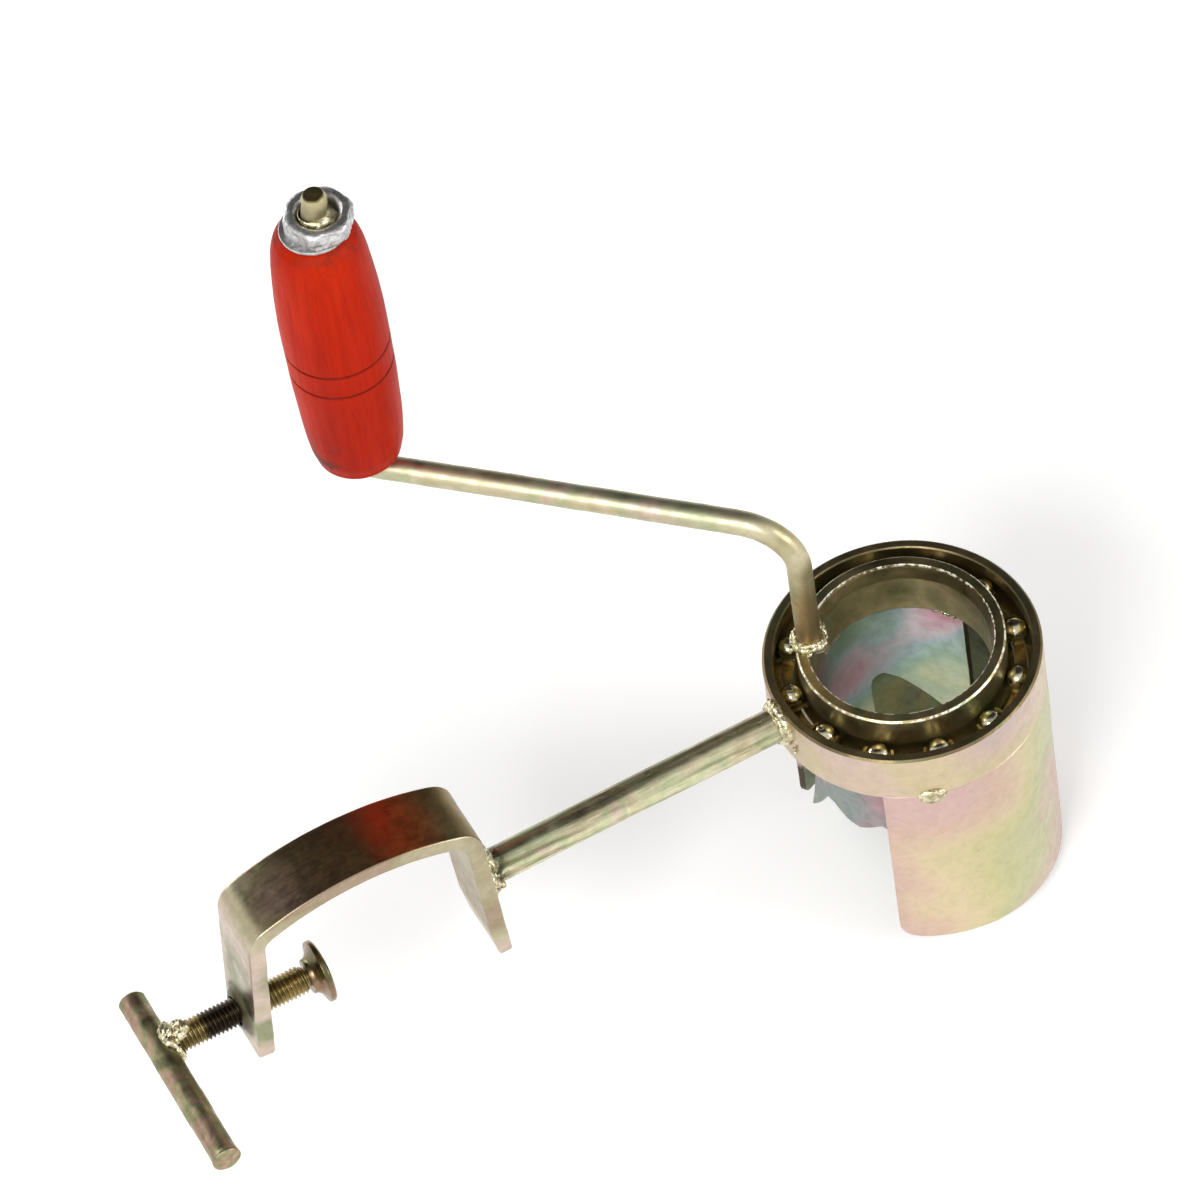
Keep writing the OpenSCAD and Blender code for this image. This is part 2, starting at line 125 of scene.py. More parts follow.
def rounded(pts, rad, closed=True, m=4):
    """Corner-rounded copy of a 2-D polyline; rad is one radius or one per point."""
    P = [np.array(p, float) for p in pts]
    n = len(P)
    rad = [rad] * n if np.isscalar(rad) else list(rad)
    out = []
    for i in range(n):
        if (not closed and i in (0, n - 1)) or rad[i] <= 0:
            out.append(P[i])
            continue
        a, b, c = P[i - 1], P[i], P[(i + 1) % n]
        u, v = a - b, c - b
        lu, lv = np.linalg.norm(u), np.linalg.norm(v)
        u, v = u / lu, v / lv
        ang = math.acos(max(-1, min(1, float(u @ v))))
        if ang > math.pi - 0.02:
            out.append(b)
            continue
        t = min(rad[i] / math.tan(ang / 2), 0.45 * lu, 0.45 * lv)
        p0, p1 = b + u * t, b + v * t
        for k in range(m + 1):
            s = k / m
            out.append((1 - s) ** 2 * p0 + 2 * s * (1 - s) * b + s * s * p1)
    return np.array(out)


def dense(pts, step, closed=True):
    P = [np.array(p, float) for p in pts]
    out = []
    for i in range(len(P) if closed else len(P) - 1):
        a, b = P[i], P[(i + 1) % len(P)]
        k = max(1, int(math.ceil(np.linalg.norm(b - a) / step)))
        out += [a + (b - a) * j / k for j in range(k)]
    if not closed:
        out.append(P[-1])
    return np.array(out)


def lathe(prof, n=192, closed=True, at=(0, 0, 0), axis="z"):
    """Rings round an axis: prof is (radius, height)."""
    prof = np.asarray(prof, float)
    t = np.linspace(0, 2 * math.pi, n, endpoint=False)
    V = np.zeros((n, len(prof), 3))
    V[:, :, 0] = np.cos(t)[:, None] * prof[None, :, 0]
    V[:, :, 1] = np.sin(t)[:, None] * prof[None, :, 0]
    V[:, :, 2] = prof[None, :, 1]
    V = V.reshape(-1, 3)
    if axis == "x":
        V = V[:, [2, 0, 1]]
    elif axis == "y":
        V = V[:, [1, 2, 0]]
    return V + np.array(at, float), grid_faces(n, len(prof), True, closed)


def sweep(path, radius, n=48, caps=True):
    """Round bar along path; radius per station."""
    P = np.asarray(path, float)
    T = np.gradient(P, axis=0)
    T /= np.linalg.norm(T, axis=1)[:, None] + 1e-12
    up = np.array([0, 0, 1.0]) if abs(T[0][2]) < 0.9 else np.array([1.0, 0, 0])
    X = np.cross(up, T[0])
    X /= np.linalg.norm(X)
    V = []
    rad = np.broadcast_to(np.asarray(radius, float), (len(P),))
    ang = np.linspace(0, 2 * math.pi, n, endpoint=False)
    for i in range(len(P)):
        X = X - T[i] * (X @ T[i])
        X /= np.linalg.norm(X)
        Y = np.cross(T[i], X)
        V.append(P[i] + rad[i] * (np.cos(ang)[:, None] * X + np.sin(ang)[:, None] * Y))
    V = np.array(V)
    F = grid_faces(len(P), n, False, True)
    V = V.reshape(-1, 3)
    if caps:
        V = np.vstack([V, P[0], P[-1]])
        a, b, e = len(V) - 2, len(V) - 1, (len(P) - 1) * n
        F += [(a, (j + 1) % n, j) for j in range(n)] + [(b, e + j, e + (j + 1) % n) for j in range(n)]
    return V, F


def rounded_ends(path, r, e=0.6, m=4):
    """Path and radii with eased ends for sweep."""
    P = np.asarray(path, float)
    t0, t1 = P[0] - P[1], P[-1] - P[-2]
    t0, t1 = t0 / np.linalg.norm(t0), t1 / np.linalg.norm(t1)
    A = [P[0] - t0 * e * (1 - math.cos(k / m * math.pi / 2)) for k in range(m + 1)]
    a = [r - e + e * math.sin(k / m * math.pi / 2) for k in range(m + 1)]
    B = [P[-1] - t1 * e * (1 - math.cos(k / m * math.pi / 2)) for k in range(m, -1, -1)]
    b = a[::-1]
    mid = [p for p in P if np.linalg.norm(p - P[0]) > 2 * e and np.linalg.norm(p - P[-1]) > 2 * e]
    path2 = np.array(A + mid + B)
    rad = np.array(a + [r] * len(mid) + b)
    return path2, rad


def loop_normals(L):
    """Unit normals that point to the right of a closed loop's direction."""
    a = L - np.roll(L, 1, 0)
    b = np.roll(L, -1, 0) - L
    a /= np.linalg.norm(a, axis=1)[:, None] + 1e-12
    b /= np.linalg.norm(b, axis=1)[:, None] + 1e-12
    d = a + b
    d /= np.linalg.norm(d, axis=1)[:, None] + 1e-12
    n = np.stack([d[:, 1], -d[:, 0]], 1)
    k = np.clip((n * np.stack([a[:, 1], -a[:, 0]], 1)).sum(1), 0.5, 1)
    return n / k[:, None]


def inside(P, L):
    x, y = P[:, 0], P[:, 1]
    c = np.zeros(len(P), bool)
    for i in range(len(L)):
        (x0, y0), (x1, y1) = L[i - 1], L[i]
        hit = ((y0 > y) != (y1 > y)) & (x < (x1 - x0) * (y - y0) / ((y1 - y0) + 1e-12) + x0)
        c ^= hit
    return c


def plate(outer, holes, t, e, fn, step, m=3):
    """Sheet with rounded edges: outline counter-clockwise, holes clockwise, fn(u, v, depth)."""
    loops = [np.asarray(outer, float)] + [np.asarray(h, float) for h in holes]
    nrm = [loop_normals(L) for L in loops]
    ins = [L - n * e for L, n in zip(loops, nrm)]
    lo, hi = loops[0].min(0), loops[0].max(0)
    gx, gy = np.meshgrid(np.arange(lo[0], hi[0], step[0]), np.arange(lo[1], hi[1], step[1]))
    G = np.stack([gx.ravel(), gy.ravel()], 1)
    ok = inside(G, ins[0])
    for h in ins[1:]:
        ok &= ~inside(G, h)
    G = G[ok]
    allb = np.vstack(ins)
    keep = []
    for s in range(0, len(G), 4000):
        part = G[s:s + 4000]
        keep.append(part[np.linalg.norm(part[:, None] - allb[None], axis=2).min(1) > 0.45 * min(step)])
    G = np.vstack(keep)
    pts, edges, k = [], [], 0
    for L in ins:
        pts += [Vector(p) for p in L]
        edges += [(k + i, k + (i + 1) % len(L)) for i in range(len(L))]
        k += len(L)
    pts += [Vector(p) for p in G]
    ov, _, of, orig, _, _ = delaunay_2d_cdt(pts, edges, [], 0, 1e-6)
    ov = np.array([tuple(v) for v in ov])
    back = {}
    for i, src in enumerate(orig):
        for s in src:
            back[s] = i
    T = np.array([f for f in of if len(f) == 3])
    C = ov[T].mean(1)
    ok = inside(C, ins[0])
    for h in ins[1:]:
        ok &= ~inside(C, h)
    T = T[ok]
    n0 = len(ov)
    UVW = [np.c_[ov, np.zeros(n0)], np.c_[ov, np.full(n0, t)]]
    F = [tuple(f) for f in T] + [tuple(int(i) + n0 for i in f[::-1]) for f in T]
    base = 2 * n0
    s = 0
    for L, n in zip(loops, nrm):
        rings = []
        for j in range(1, m + 1):
            a = math.pi / 2 * j / m
            rings.append(np.c_[L - n * e * (1 - math.sin(a)), np.full(len(L), e * (1 - math.cos(a)))])
        for j in range(m, 0, -1):
            a = math.pi / 2 * j / m
            rings.append(np.c_[L - n * e * (1 - math.sin(a)), np.full(len(L), t - e * (1 - math.cos(a)))])
        ids = [[back[s + i] for i in range(len(L))]]
        for g in rings:
            UVW.append(g)
            ids.append(list(range(base, base + len(L))))
            base += len(L)
        ids.append([back[s + i] + n0 for i in range(len(L))])
        for a, b in zip(ids[:-1], ids[1:]):
            for i in range(len(L)):
                i2 = (i + 1) % len(L)
                F.append((a[i], b[i], b[i2], a[i2]))
        s += len(L)
    UVW = np.vstack(UVW)
    return fn(UVW[:, 0], UVW[:, 1], UVW[:, 2]), F


def bead(path, r, seed, closed=False, ripple=0.1, pitch=1.6, lump=0.22, n=20):
    """Lumpy weld bead along a path."""
    P = np.asarray(path, float)
    L = np.r_[0, np.cumsum(np.linalg.norm(np.diff(P, axis=0), axis=1))]
    rad = r * (1 + ripple * np.abs(np.sin(math.pi * L / pitch)) + lump * fnoise(P, 0.16, seed, 10) * 0.6)
    if not closed:
        end = np.minimum(L, L[-1] - L) / (1.3 * r)
        rad = rad * np.sqrt(np.clip(1 - (1 - np.clip(end, 0, 1)) ** 2, 0.02, 1))
    V, F = sweep(P, rad, n, caps=not closed)
    V = V + (fnoise(V, 0.5, seed + 1, 16) * 0.09 * r)[:, None] * np.array([0.6, 0.6, 1.0])
    return V, F


def join(parts):
    V, F, k = [], [], 0
    for v, f in parts:
        V.append(v)
        F += [tuple(int(i) + k for i in q) for q in f]
        k += len(v)
    return np.vstack(V), F


def blob(c, r, seed, amp=0.12, sub=3):
    bm = bmesh.new()
    bmesh.ops.create_icosphere(bm, subdivisions=sub, radius=1.0)
    V = np.array([tuple(v.co) for v in bm.verts])
    F = [tuple(v.index for v in f.verts) for f in bm.faces]
    bm.free()
    V = V * (1 + amp * fnoise(V, 0.35, seed, 12)[:, None]) * r + np.array(c, float)
    return V, F


# ---------------------------------------------------------------- materials
def lin(c):
    c = [x / 255 for x in c]
    return [x / 12.92 if x <= 0.04045 else ((x + 0.055) / 1.055) ** 2.4 for x in c] + [1.0]


class Mat:
    def __init__(s, name):
        s.m = bpy.data.materials.new(name)
        s.m.use_nodes = True
        s.t = s.m.node_tree
        s.t.nodes.clear()
        s.out = s.t.nodes.new("ShaderNodeOutputMaterial")
        s.b = s.t.nodes.new("ShaderNodeBsdfPrincipled")
        s.t.links.new(s.b.outputs[0], s.out.inputs[0])
        s.tc = s.t.nodes.new("ShaderNodeTexCoord").outputs["Object"]

    def put(s, sock, v):
        if hasattr(v, "is_output"):
            s.t.links.new(v, sock)
        else:
            sock.default_value = v

    def map(s, scale=(1, 1, 1), loc=(0, 0, 0), src=None):
        n = s.t.nodes.new("ShaderNodeMapping")
        s.put(n.inputs["Vector"], src or s.tc)
        n.inputs["Scale"].default_value = scale
        n.inputs["Location"].default_value = loc
        return n.outputs[0]

    def noise(s, scale, detail=3.0, rough=0.55, dist=0.0, src=None):
        n = s.t.nodes.new("ShaderNodeTexNoise")
        s.put(n.inputs["Vector"], src or s.tc)
        n.inputs["Scale"].default_value = scale
        n.inputs["Detail"].default_value = detail
        n.inputs["Roughness"].default_value = rough
        n.inputs["Distortion"].default_value = dist
        return n.outputs[0]

    def voronoi(s, scale, src=None):
        n = s.t.nodes.new("ShaderNodeTexVoronoi")
        s.put(n.inputs["Vector"], src or s.tc)
        n.inputs["Scale"].default_value = scale
        return n.outputs["Distance"]

    def math(s, op, a, b=0.0, c=0.0):
        n = s.t.nodes.new("ShaderNodeMath")
        n.operation = op
        s.put(n.inputs[0], a)
        s.put(n.inputs[1], b)
        s.put(n.inputs[2], c)
        return n.outputs[0]

    def rng(s, v, a, b, c, d, smooth=False):
        n = s.t.nodes.new("ShaderNodeMapRange")
        if smooth:
            n.interpolation_type = "SMOOTHSTEP"
        s.put(n.inputs["Value"], v)
        for k, x in zip(("From Min", "From Max", "To Min", "To Max"), (a, b, c, d)):
            n.inputs[k].default_value = x
        return n.outputs[0]

    def ramp(s, v, stops):
        n = s.t.nodes.new("ShaderNodeValToRGB")
        s.put(n.inputs[0], v)
        r = n.color_ramp
        while len(r.elements) < len(stops):
            r.elements.new(0.5)
        for e, (p, c) in zip(r.elements, stops):
            e.position = p
            e.color = c
        return n.outputs[0]

    def mix(s, f, a, b, mode="MIX"):
        n = s.t.nodes.new("ShaderNodeMix")
        n.data_type = "RGBA"
        n.blend_type = mode
        s.put(n.inputs[0], f)
        s.put(n.inputs[6], a)
        s.put(n.inputs[7], b)
        return n.outputs[2]

    def xyz(s):
        n = s.t.nodes.new("ShaderNodeSeparateXYZ")
        s.put(n.inputs[0], s.tc)
        return n.outputs[0], n.outputs[1], n.outputs[2]

    def bump(s, h, strength, dist, nrm=None):
        n = s.t.nodes.new("ShaderNodeBump")
        s.put(n.inputs["Height"], h)
        n.inputs["Strength"].default_value = strength
        n.inputs["Distance"].default_value = dist
        if nrm is not None:
            s.put(n.inputs["Normal"], nrm)
        return n.outputs[0]

    def set(s, **k):
        for a, v in k.items():
            s.put(s.b.inputs[a.replace("_", " ")], v)


def zinc(name, stops, scale=22.0, grain=(1, 1, 60), rough=(0.2, 0.34), grime=0.22, seed=0.0,
         rust=0.0, bump=1.0, streak=0.0, spread=(0.33, 0.67), drift=(0, 0, 0),
         shift=0.0, detail=1.5, amp=0.86, paint=None):
    """Chromated zinc over steel: colour bands that drift over the surface, drawn grain, grime."""
    a = Mat(name)
    src = a.map(loc=(seed, seed * 0.7, -seed * 0.4))
    n1 = a.noise(scale, detail, 0.5, 0.8, src)
    n2 = a.noise(scale * 3.7, 3.0, 0.6, 0.4, src)
    f = a.math("MULTIPLY_ADD", n1, amp, a.math("MULTIPLY_ADD", n2, 0.14, shift + 0.43 - amp / 2))
    if any(drift):
        x, y, z = a.xyz()
        for c, k in zip((x, y, z), drift):
            if k:
                f = a.math("MULTIPLY_ADD", c, k, f)
    f = a.rng(f, spread[0], spread[1], 0.0, 1.0)
    col = a.ramp(f, stops)
    g = a.noise(260.0, 6.0, 0.65, 0.2, src)
    col = a.mix(grime, col, a.ramp(g, [(0.3, (0.32, 0.30, 0.24, 1)), (0.62, (1, 1, 1, 1))]), "MULTIPLY")
    lines = a.noise(1.0, 4.0, 0.7, 0.0, a.map(scale=tuple(45.0 * q for q in grain), loc=(seed, 0, 0)))
    if streak:
        col = a.mix(streak, col, a.ramp(lines, [(0.34, (0.30, 0.27, 0.20, 1)), (0.56, (1, 1, 1, 1))]),
                    "MULTIPLY")
    if rust:
        v = a.voronoi(190.0, src)
        spot = a.math("MULTIPLY", a.rng(v, 0.05, 0.13, 1.0, 0.0, True),
                      a.rng(a.noise(70.0, 2.0, 0.5, 0.0, src), 0.60, 0.66, 0.0, rust))
        col = a.mix(spot, col, (0.055, 0.028, 0.016, 1))
    metal = 1.0
    if paint:
        col, metal = paint(a, col)
    fine = a.noise(2600.0, 2.0, 0.6, 0.0, src)
    r = a.math("ADD", a.rng(n2, 0.3, 0.7, rough[0], rough[1]), a.rng(g, 0.35, 0.6, 0.10, 0.0))
    r = a.math("MULTIPLY_ADD", a.rng(lines, 0.3, 0.7, -0.5, 0.5), 0.06, r)
    nb = a.bump(lines, 0.16 * bump, 0.00006)
    nb = a.bump(fine, 0.10 * bump, 0.00003, nb)
    nb = a.bump(n2, 0.25 * bump, 0.00035, nb)
    a.set(Base_Color=col, Metallic=metal, Roughness=r, Normal=nb)
    return a.m


def band(a, v, lo, hi, soft):
    """1 where v lies between lo and hi."""
    return a.math("MULTIPLY", a.rng(v, lo - soft, lo, 0.0, 1.0, True),
                  a.rng(v, hi, hi + soft, 1.0, 0.0, True))


def painted_shade_corner(a, col):
    """Painted shade: darker lower corner at the sheet's far end."""
    x, y, z = a.xyz()
    q = [a.math("ADD", v, k) for v, k in ((x, 0.0296), (y, -0.0372), (z, 0.0990))]
    q = [a.math("MULTIPLY", v, v) for v in q]
    d = a.math("SQRT", a.math("ADD", a.math("ADD", q[0], q[1]), q[2]))
    m = a.math("ADD", d, a.rng(a.noise(120.0, 3.0), 0.3, 0.7, -0.0025, 0.0025))
    return a.mix(a.rng(m, 0.009, 0.014, 0.93, 0.0, True), col, (0.045, 0.032, 0.014, 1)), 1.0


def rod_tint(a, col):
    x, y, z = a.xyz()
    col = a.mix(a.rng(z, 0.054, 0.030, 0.0, 1.0, True), col, (0.58, 0.47, 0.34, 1), "MULTIPLY")
    return a.mix(a.rng(z, 0.2014, 0.2019, 0.0, 1.0, True), col, (0.34, 0.30, 0.20, 1), "MULTIPLY"), 1.0


def painted_glint_rim(a, col):
    """Painted highlight: bright specks along the two top edges of the inner ring, standing in for edge
    glints.
    """
    x, y, z = a.xyz()
    r = a.math("SQRT", a.math("ADD", a.math("MULTIPLY", x, x), a.math("MULTIPLY", y, y)))
    e = a.math("ADD", band(a, r, 0.0314, 0.0319, 0.0002), band(a, r, 0.0350, 0.0354, 0.0002))
    e = a.math("MULTIPLY", e, a.rng(z, 0.0050, 0.0056, 0.0, 1.0))
    e = a.math("MULTIPLY", e, a.rng(a.noise(520.0, 3.0, 0.6), 0.46, 0.54, 0.0, 0.85, True))
    return a.mix(e, col, lin((250, 244, 232))), a.math("SUBTRACT", 1.0, a.math("MULTIPLY", e, 0.8))


def clamp_tint(a, col):
    x, y, z = a.xyz()
    ay = a.math("ABSOLUTE", y)
    # Painted shade: the top faces are darker, less so towards the left end.
    top = a.math("MULTIPLY", a.rng(z, 0.017, 0.024, 0.0, 1.0, True),
                 a.rng(ay, 0.0117, 0.0123, 1.0, 0.0, True))
    top_face_shade = a.math("MULTIPLY", top, a.rng(x, -0.240, -0.215, 0.1, 1.0, True))
    col = a.mix(top_face_shade, col, (0.62, 0.54, 0.38, 1), "MULTIPLY")
    dx = a.math("ADD", x, 0.1865)
    yy = a.math("MULTIPLY", a.math("MULTIPLY", y, y), 0.35)
    q = a.math("SQRT", a.math("ADD", a.math("MULTIPLY", dx, dx), yy))
    warm = a.math("MULTIPLY", a.math("MULTIPLY", top, a.rng(q, 0.003, 0.017, 0.9, 0.0, True)),
                  a.rng(a.noise(60.0, 2.0), 0.3, 0.6, 0.7, 1.0))
    col = a.mix(warm, col, (0.80, 0.22, 0.06, 1))
    # A darker ring round the screw hole on the left leg's outer face.
    dz = a.math("ADD", z, 0.0215)
    q = a.math("SQRT", a.math("ADD", a.math("MULTIPLY", dz, dz), a.math("MULTIPLY", y, y)))
    hole_ring_dark = a.math("MULTIPLY", a.rng(q, 0.0065, 0.0125, 0.9, 0.0, True),
                  a.rng(x, -0.2505, -0.2500, 1.0, 0.0))
    return a.mix(hole_ring_dark, col, (0.045, 0.027, 0.014, 1)), 1.0


def screw_painted_shade(a, col):
    x, y, z = a.xyz()
    # Painted shade: a near-black band on the thread next to the left leg.
    m = a.math("MULTIPLY", band(a, x, -0.2660, -0.2510, 0.0025), 0.88)
    return a.mix(m, col, (0.016, 0.011, 0.012, 1)), 1.0


def link_scorch(a, col):
    x, y, z = a.xyz()
    m = a.math("MULTIPLY", a.rng(x, -0.1500, -0.1570, 0.0, 1.0, True),
               a.rng(a.noise(420.0, 4.0, 0.7), 0.42, 0.56, 0.0, 0.9, True))
    return a.mix(m, col, (0.03, 0.02, 0.012, 1)), 1.0


def shades(*rows):
    """Colour stops from rows of position and sRGB red, green, blue."""
    return [(p, lin(rgb)) for p, *rgb in rows]


PALE = shades((0.0, 224, 192, 184), (0.18, 226, 196, 178), (0.40, 230, 212, 176), (0.62, 218, 211, 162),
              (0.80, 208, 208, 166), (1.0, 222, 194, 180))
BAND = shades((0.0, 226, 190, 188), (0.3, 226, 206, 178), (0.52, 222, 205, 168), (0.75, 224, 200, 184),
              (1.0, 208, 190, 190))
VIVID = shades((0.0, 150, 112, 116), (0.16, 208, 156, 168), (0.32, 196, 184, 188), (0.46, 168, 188, 188),
               (0.62, 160, 184, 160), (0.80, 200, 202, 166), (1.0, 216, 196, 176))
OLIVE = shades((0.0, 118, 112, 74), (0.3, 160, 146, 104), (0.55, 178, 160, 120), (0.8, 138, 146, 104),
               (1.0, 170, 142, 116))
FACE = shades((0.0, 104, 94, 68), (0.35, 138, 124, 92), (0.6, 122, 108, 80), (0.8, 112, 112, 80),
              (1.0, 142, 116, 92))
# Darker stops: painted shade for the shroud's inner faces.
DEEP_SHADE = shades((0.0, 88, 92, 62), (0.4, 116, 128, 92), (0.7, 132, 126, 86), (1.0, 102, 110, 90))
# Darker stops: painted shade for the sleeve's outer faces, under the ring.
MAUVE_SHADE = shades((0.0, 96, 84, 66), (0.35, 142, 114, 108), (0.6, 170, 140, 146), (0.8, 140, 152, 150),
               (1.0, 170, 170, 130))
TBAR = shades((0.0, 122, 120, 92), (0.3, 164, 158, 120), (0.5, 186, 152, 136), (0.7, 150, 156, 112),
              (1.0, 196, 176, 150))
CHAMP = shades((0.0, 196, 186, 146), (0.35, 222, 212, 180), (0.6, 198, 204, 164), (0.85, 224, 204, 186),
               (1.0, 190, 180, 140))
CLAMP = shades((0.0, 146, 146, 118), (0.22, 184, 152, 146), (0.45, 162, 148, 118), (0.68, 190, 182, 154),
               (0.86, 206, 186, 172), (1.0, 150, 152, 120))
BARE = shades((0.0, 132, 118, 78), (0.5, 178, 158, 110), (1.0, 214, 192, 132))


def dim(stops, k):
    return [(p, (c[0] * k, c[1] * k, c[2] * k, 1)) for p, c in stops]


M_BAND = zinc("zinc_band", dim(BAND, 0.80), 18, (1, 1, 60), (0.24, 0.36), 0.16, 1.3, detail=0.6,
              spread=(0.28, 0.72))
# The sheet's far lower corner carries painted shade.
M_SHROUD = zinc("zinc_sheet", dim(PALE, 0.80), 14, (1, 1, 26), (0.26, 0.38), 0.14, 4.1, rust=0.25,
                detail=0.8, spread=(0.28, 0.72), drift=(7.0, 0, -1.5), shift=-0.15, amp=0.6,
                paint=painted_shade_corner)
# Painted shade: a darker copy of the sheet's zinc for the shroud's inner faces.
M_SHROUD_IN_SHADED = zinc("zinc_sheet_inside_painted_shade", DEEP_SHADE, 20, (1, 1, 26), (0.30, 0.42), 0.3, 5.3, detail=0.6)
M_SLEEVE = zinc("zinc_sleeve", VIVID, 17, (1, 1, 20), (0.26, 0.38), 0.18, 2.7, rust=0.95, detail=0.6,
                spread=(0.30, 0.70), drift=(5.0, 0, -5.0), shift=-0.225, amp=0.6)
# Painted shade: a darker copy of the sleeve's zinc for its outer faces.
M_SLEEVE_OUT_SHADED = zinc("zinc_sleeve_outside_painted_shade", MAUVE_SHADE, 16, (1, 1, 20), (0.30, 0.42), 0.3, 3.9, detail=0.8)
M_FACE = zinc("ring_face", FACE, 30, (1, 1, 70), (0.36, 0.48), 0.35, 5.1, spread=(0.3, 0.72))
M_INNER = zinc("ring_inner", OLIVE, 34, (1, 1, 70), (0.30, 0.42), 0.30, 6.2, spread=(0.3, 0.72),
               paint=painted_glint_rim)
M_ROD = zinc("rod_zinc", dim(CHAMP, 0.86), 30, (1, 1, 1), (0.36, 0.50), 0.25, 3.3, bump=1.5,
             paint=rod_tint)
M_LINK = zinc("link_zinc", CHAMP, 34, (0.5, 9, 9), (0.24, 0.36), 0.34, 8.4, streak=0.8, paint=link_scorch)
M_CLAMP = zinc("clamp_zinc", CLAMP, 14, (1.2, 18, 6), (0.26, 0.36), 0.22, 5.6, streak=0.10, detail=0.8,
               paint=clamp_tint)
M_TBAR = zinc("tbar_zinc", TBAR, 60, (9, 0.8, 9), (0.34, 0.50), 0.45, 7.9, streak=0.35, bump=1.8)
M_SCREW = zinc("screw_zinc", BARE, 70, (4, 4, 4), (0.20, 0.34), 0.4, 9.1, paint=screw_painted_shade)
M_PAD = zinc("pad_zinc", FACE, 55, (60, 1, 1), (0.18, 0.30), 0.4, 10.4, shift=0.1)
M_CAGE = zinc("cage_zinc", BARE, 60, (1, 1, 1), (0.24, 0.4), 0.35, 11.2)


def ball_mat():
    a = Mat("ball_steel")
    n = a.noise(240.0, 3.0, 0.6, 0.3)
    col = a.ramp(n, [(0.3, lin((150, 142, 104))), (0.5, lin((214, 208, 184))),
                     (0.75, lin((196, 182, 132)))])
    a.set(Base_Color=col, Metallic=1.0, Roughness=a.rng(n, 0.3, 0.7, 0.07, 0.17),
          Normal=a.bump(a.noise(1500.0, 3.0), 0.05, 0.00003))
    return a.m


def weld_mat():
    a = Mat("weld_metal")
    n = a.noise(420.0, 5.0, 0.65, 0.6)
    col = a.ramp(n, [(0.32, lin((92, 84, 58))), (0.48, lin((196, 186, 150))), (0.7, lin((232, 226, 206)))])
    a.set(Base_Color=col, Metallic=1.0, Roughness=a.rng(n, 0.3, 0.7, 0.40, 0.20),
          Normal=a.bump(n, 0.7, 0.0005, a.bump(a.noise(1700.0, 3.0), 0.35, 0.0001)))
    return a.m


def nut_mat():
    a = Mat("nut_zinc")
    n = a.noise(330.0, 5.0, 0.7, 0.8)
    f = a.noise(1900.0, 2.0)
    col = a.ramp(n, [(0.28, lin((96, 92, 86))), (0.45, lin((186, 184, 182))), (0.7, lin((232, 234, 238)))])
    a.set(Base_Color=col, Metallic=1.0, Roughness=a.rng(n, 0.3, 0.7, 0.50, 0.30),
          Normal=a.bump(n, 0.6, 0.0005, a.bump(f, 0.3, 0.00008)))
    return a.m


def wood_mat():
    a = Mat("red_wood")
    x, y, z = a.xyz()
    at = a.map(loc=(-GRIP[0] * 0.001, -GRIP[1] * 0.001, 0))
    grain = a.noise(1.0, 5.0, 0.62, 0.35, a.map(scale=(420, 420, 16), src=at))
    pores = a.noise(1.0, 3.0, 0.7, 0.0, a.map(scale=(1700, 1700, 60), src=at))
    wide = a.noise(34.0, 2.0, 0.5, 0.6, a.map(scale=(1, 1, 0.35), src=at))
    col = a.ramp(wide, [(0.3, lin((150, 24, 2))), (0.55, lin((168, 31, 3))), (0.75, lin((180, 42, 5)))])
    col = a.mix(0.30, col, a.ramp(grain, [(0.3, lin((176, 110, 90))), (0.58, (1, 1, 1, 1))]), "MULTIPLY")
    col = a.mix(0.25, col, a.ramp(pores, [(0.32, lin((140, 70, 56))), (0.46, (1, 1, 1, 1))]), "MULTIPLY")
    # Painted shade in the two scored lines.
    for gz in GROOVES:
        d = a.math("ABSOLUTE", a.math("SUBTRACT", z, (GRIP_Z0 + gz) * 0.001))
        col = a.mix(a.rng(d, 0.00025, 0.0009, 0.75, 0.0, True), col, (0.10, 0.006, 0.003, 1))
    # Noise for the smudge at the lower left and for the painted shadow under the nut.
    smudge_and_shade_noise = a.noise(120.0, 4.0, 0.65, 0.5)
    low = a.rng(z, (GRIP_Z0 + 30) * 0.001, (GRIP_Z0 + 4) * 0.001, 0.0, 1.0, True)
    left = a.rng(x, (GRIP[0] - 4) * 0.001, (GRIP[0] - 15) * 0.001, 0.0, 1.0, True)
    m = a.math("MULTIPLY", a.math("MULTIPLY", low, left), a.rng(smudge_and_shade_noise, 0.46, 0.58, 0.0, 0.85, True))
    col = a.mix(m, col, (0.045, 0.018, 0.012, 1))
    # Painted shadow under the nut: the grip gets darker over its top 9 mm, broken up by noise.
    top = a.math("MULTIPLY", a.rng(z, (GRIP_Z1 - 9) * 0.001, GRIP_Z1 * 0.001, 0.0, 0.8, True),
                 a.rng(smudge_and_shade_noise, 0.42, 0.60, 0.0, 0.8, True))
    col = a.mix(top, col, (0.16, 0.02, 0.01, 1))
    a.set(Base_Color=col, Roughness=a.rng(grain, 0.3, 0.7, 0.52, 0.40),
          Normal=a.bump(grain, 0.32, 0.00022, a.bump(pores, 0.30, 0.00010)))
    a.b.inputs["Specular IOR Level"].default_value = 0.05
    a.b.inputs["Coat Weight"].default_value = 0.015
    a.b.inputs["Coat Roughness"].default_value = 0.3
    return a.m


M_BALL, M_WELD, M_NUT, M_WOOD = ball_mat(), weld_mat(), nut_mat(), wood_mat()

# ---------------------------------------------------------------- bearing
def groove(side):
    """Ball groove from the low shoulder to the high edge, outer (+1) or inner (-1) ring."""
    rg = BALL + 0.3
    lo, hi = (OUT_LOW, OUT_R) if side > 0 else (IN_LOW, IN_R)
    a0 = -math.acos(abs(lo - PITCH) / rg)
    a1 = math.acos(abs(hi - PITCH) / rg)
    return [(PITCH + side * rg * math.cos(t), BALL_Z + rg * math.sin(t)) for t in np.linspace(a0, a1, 21)]


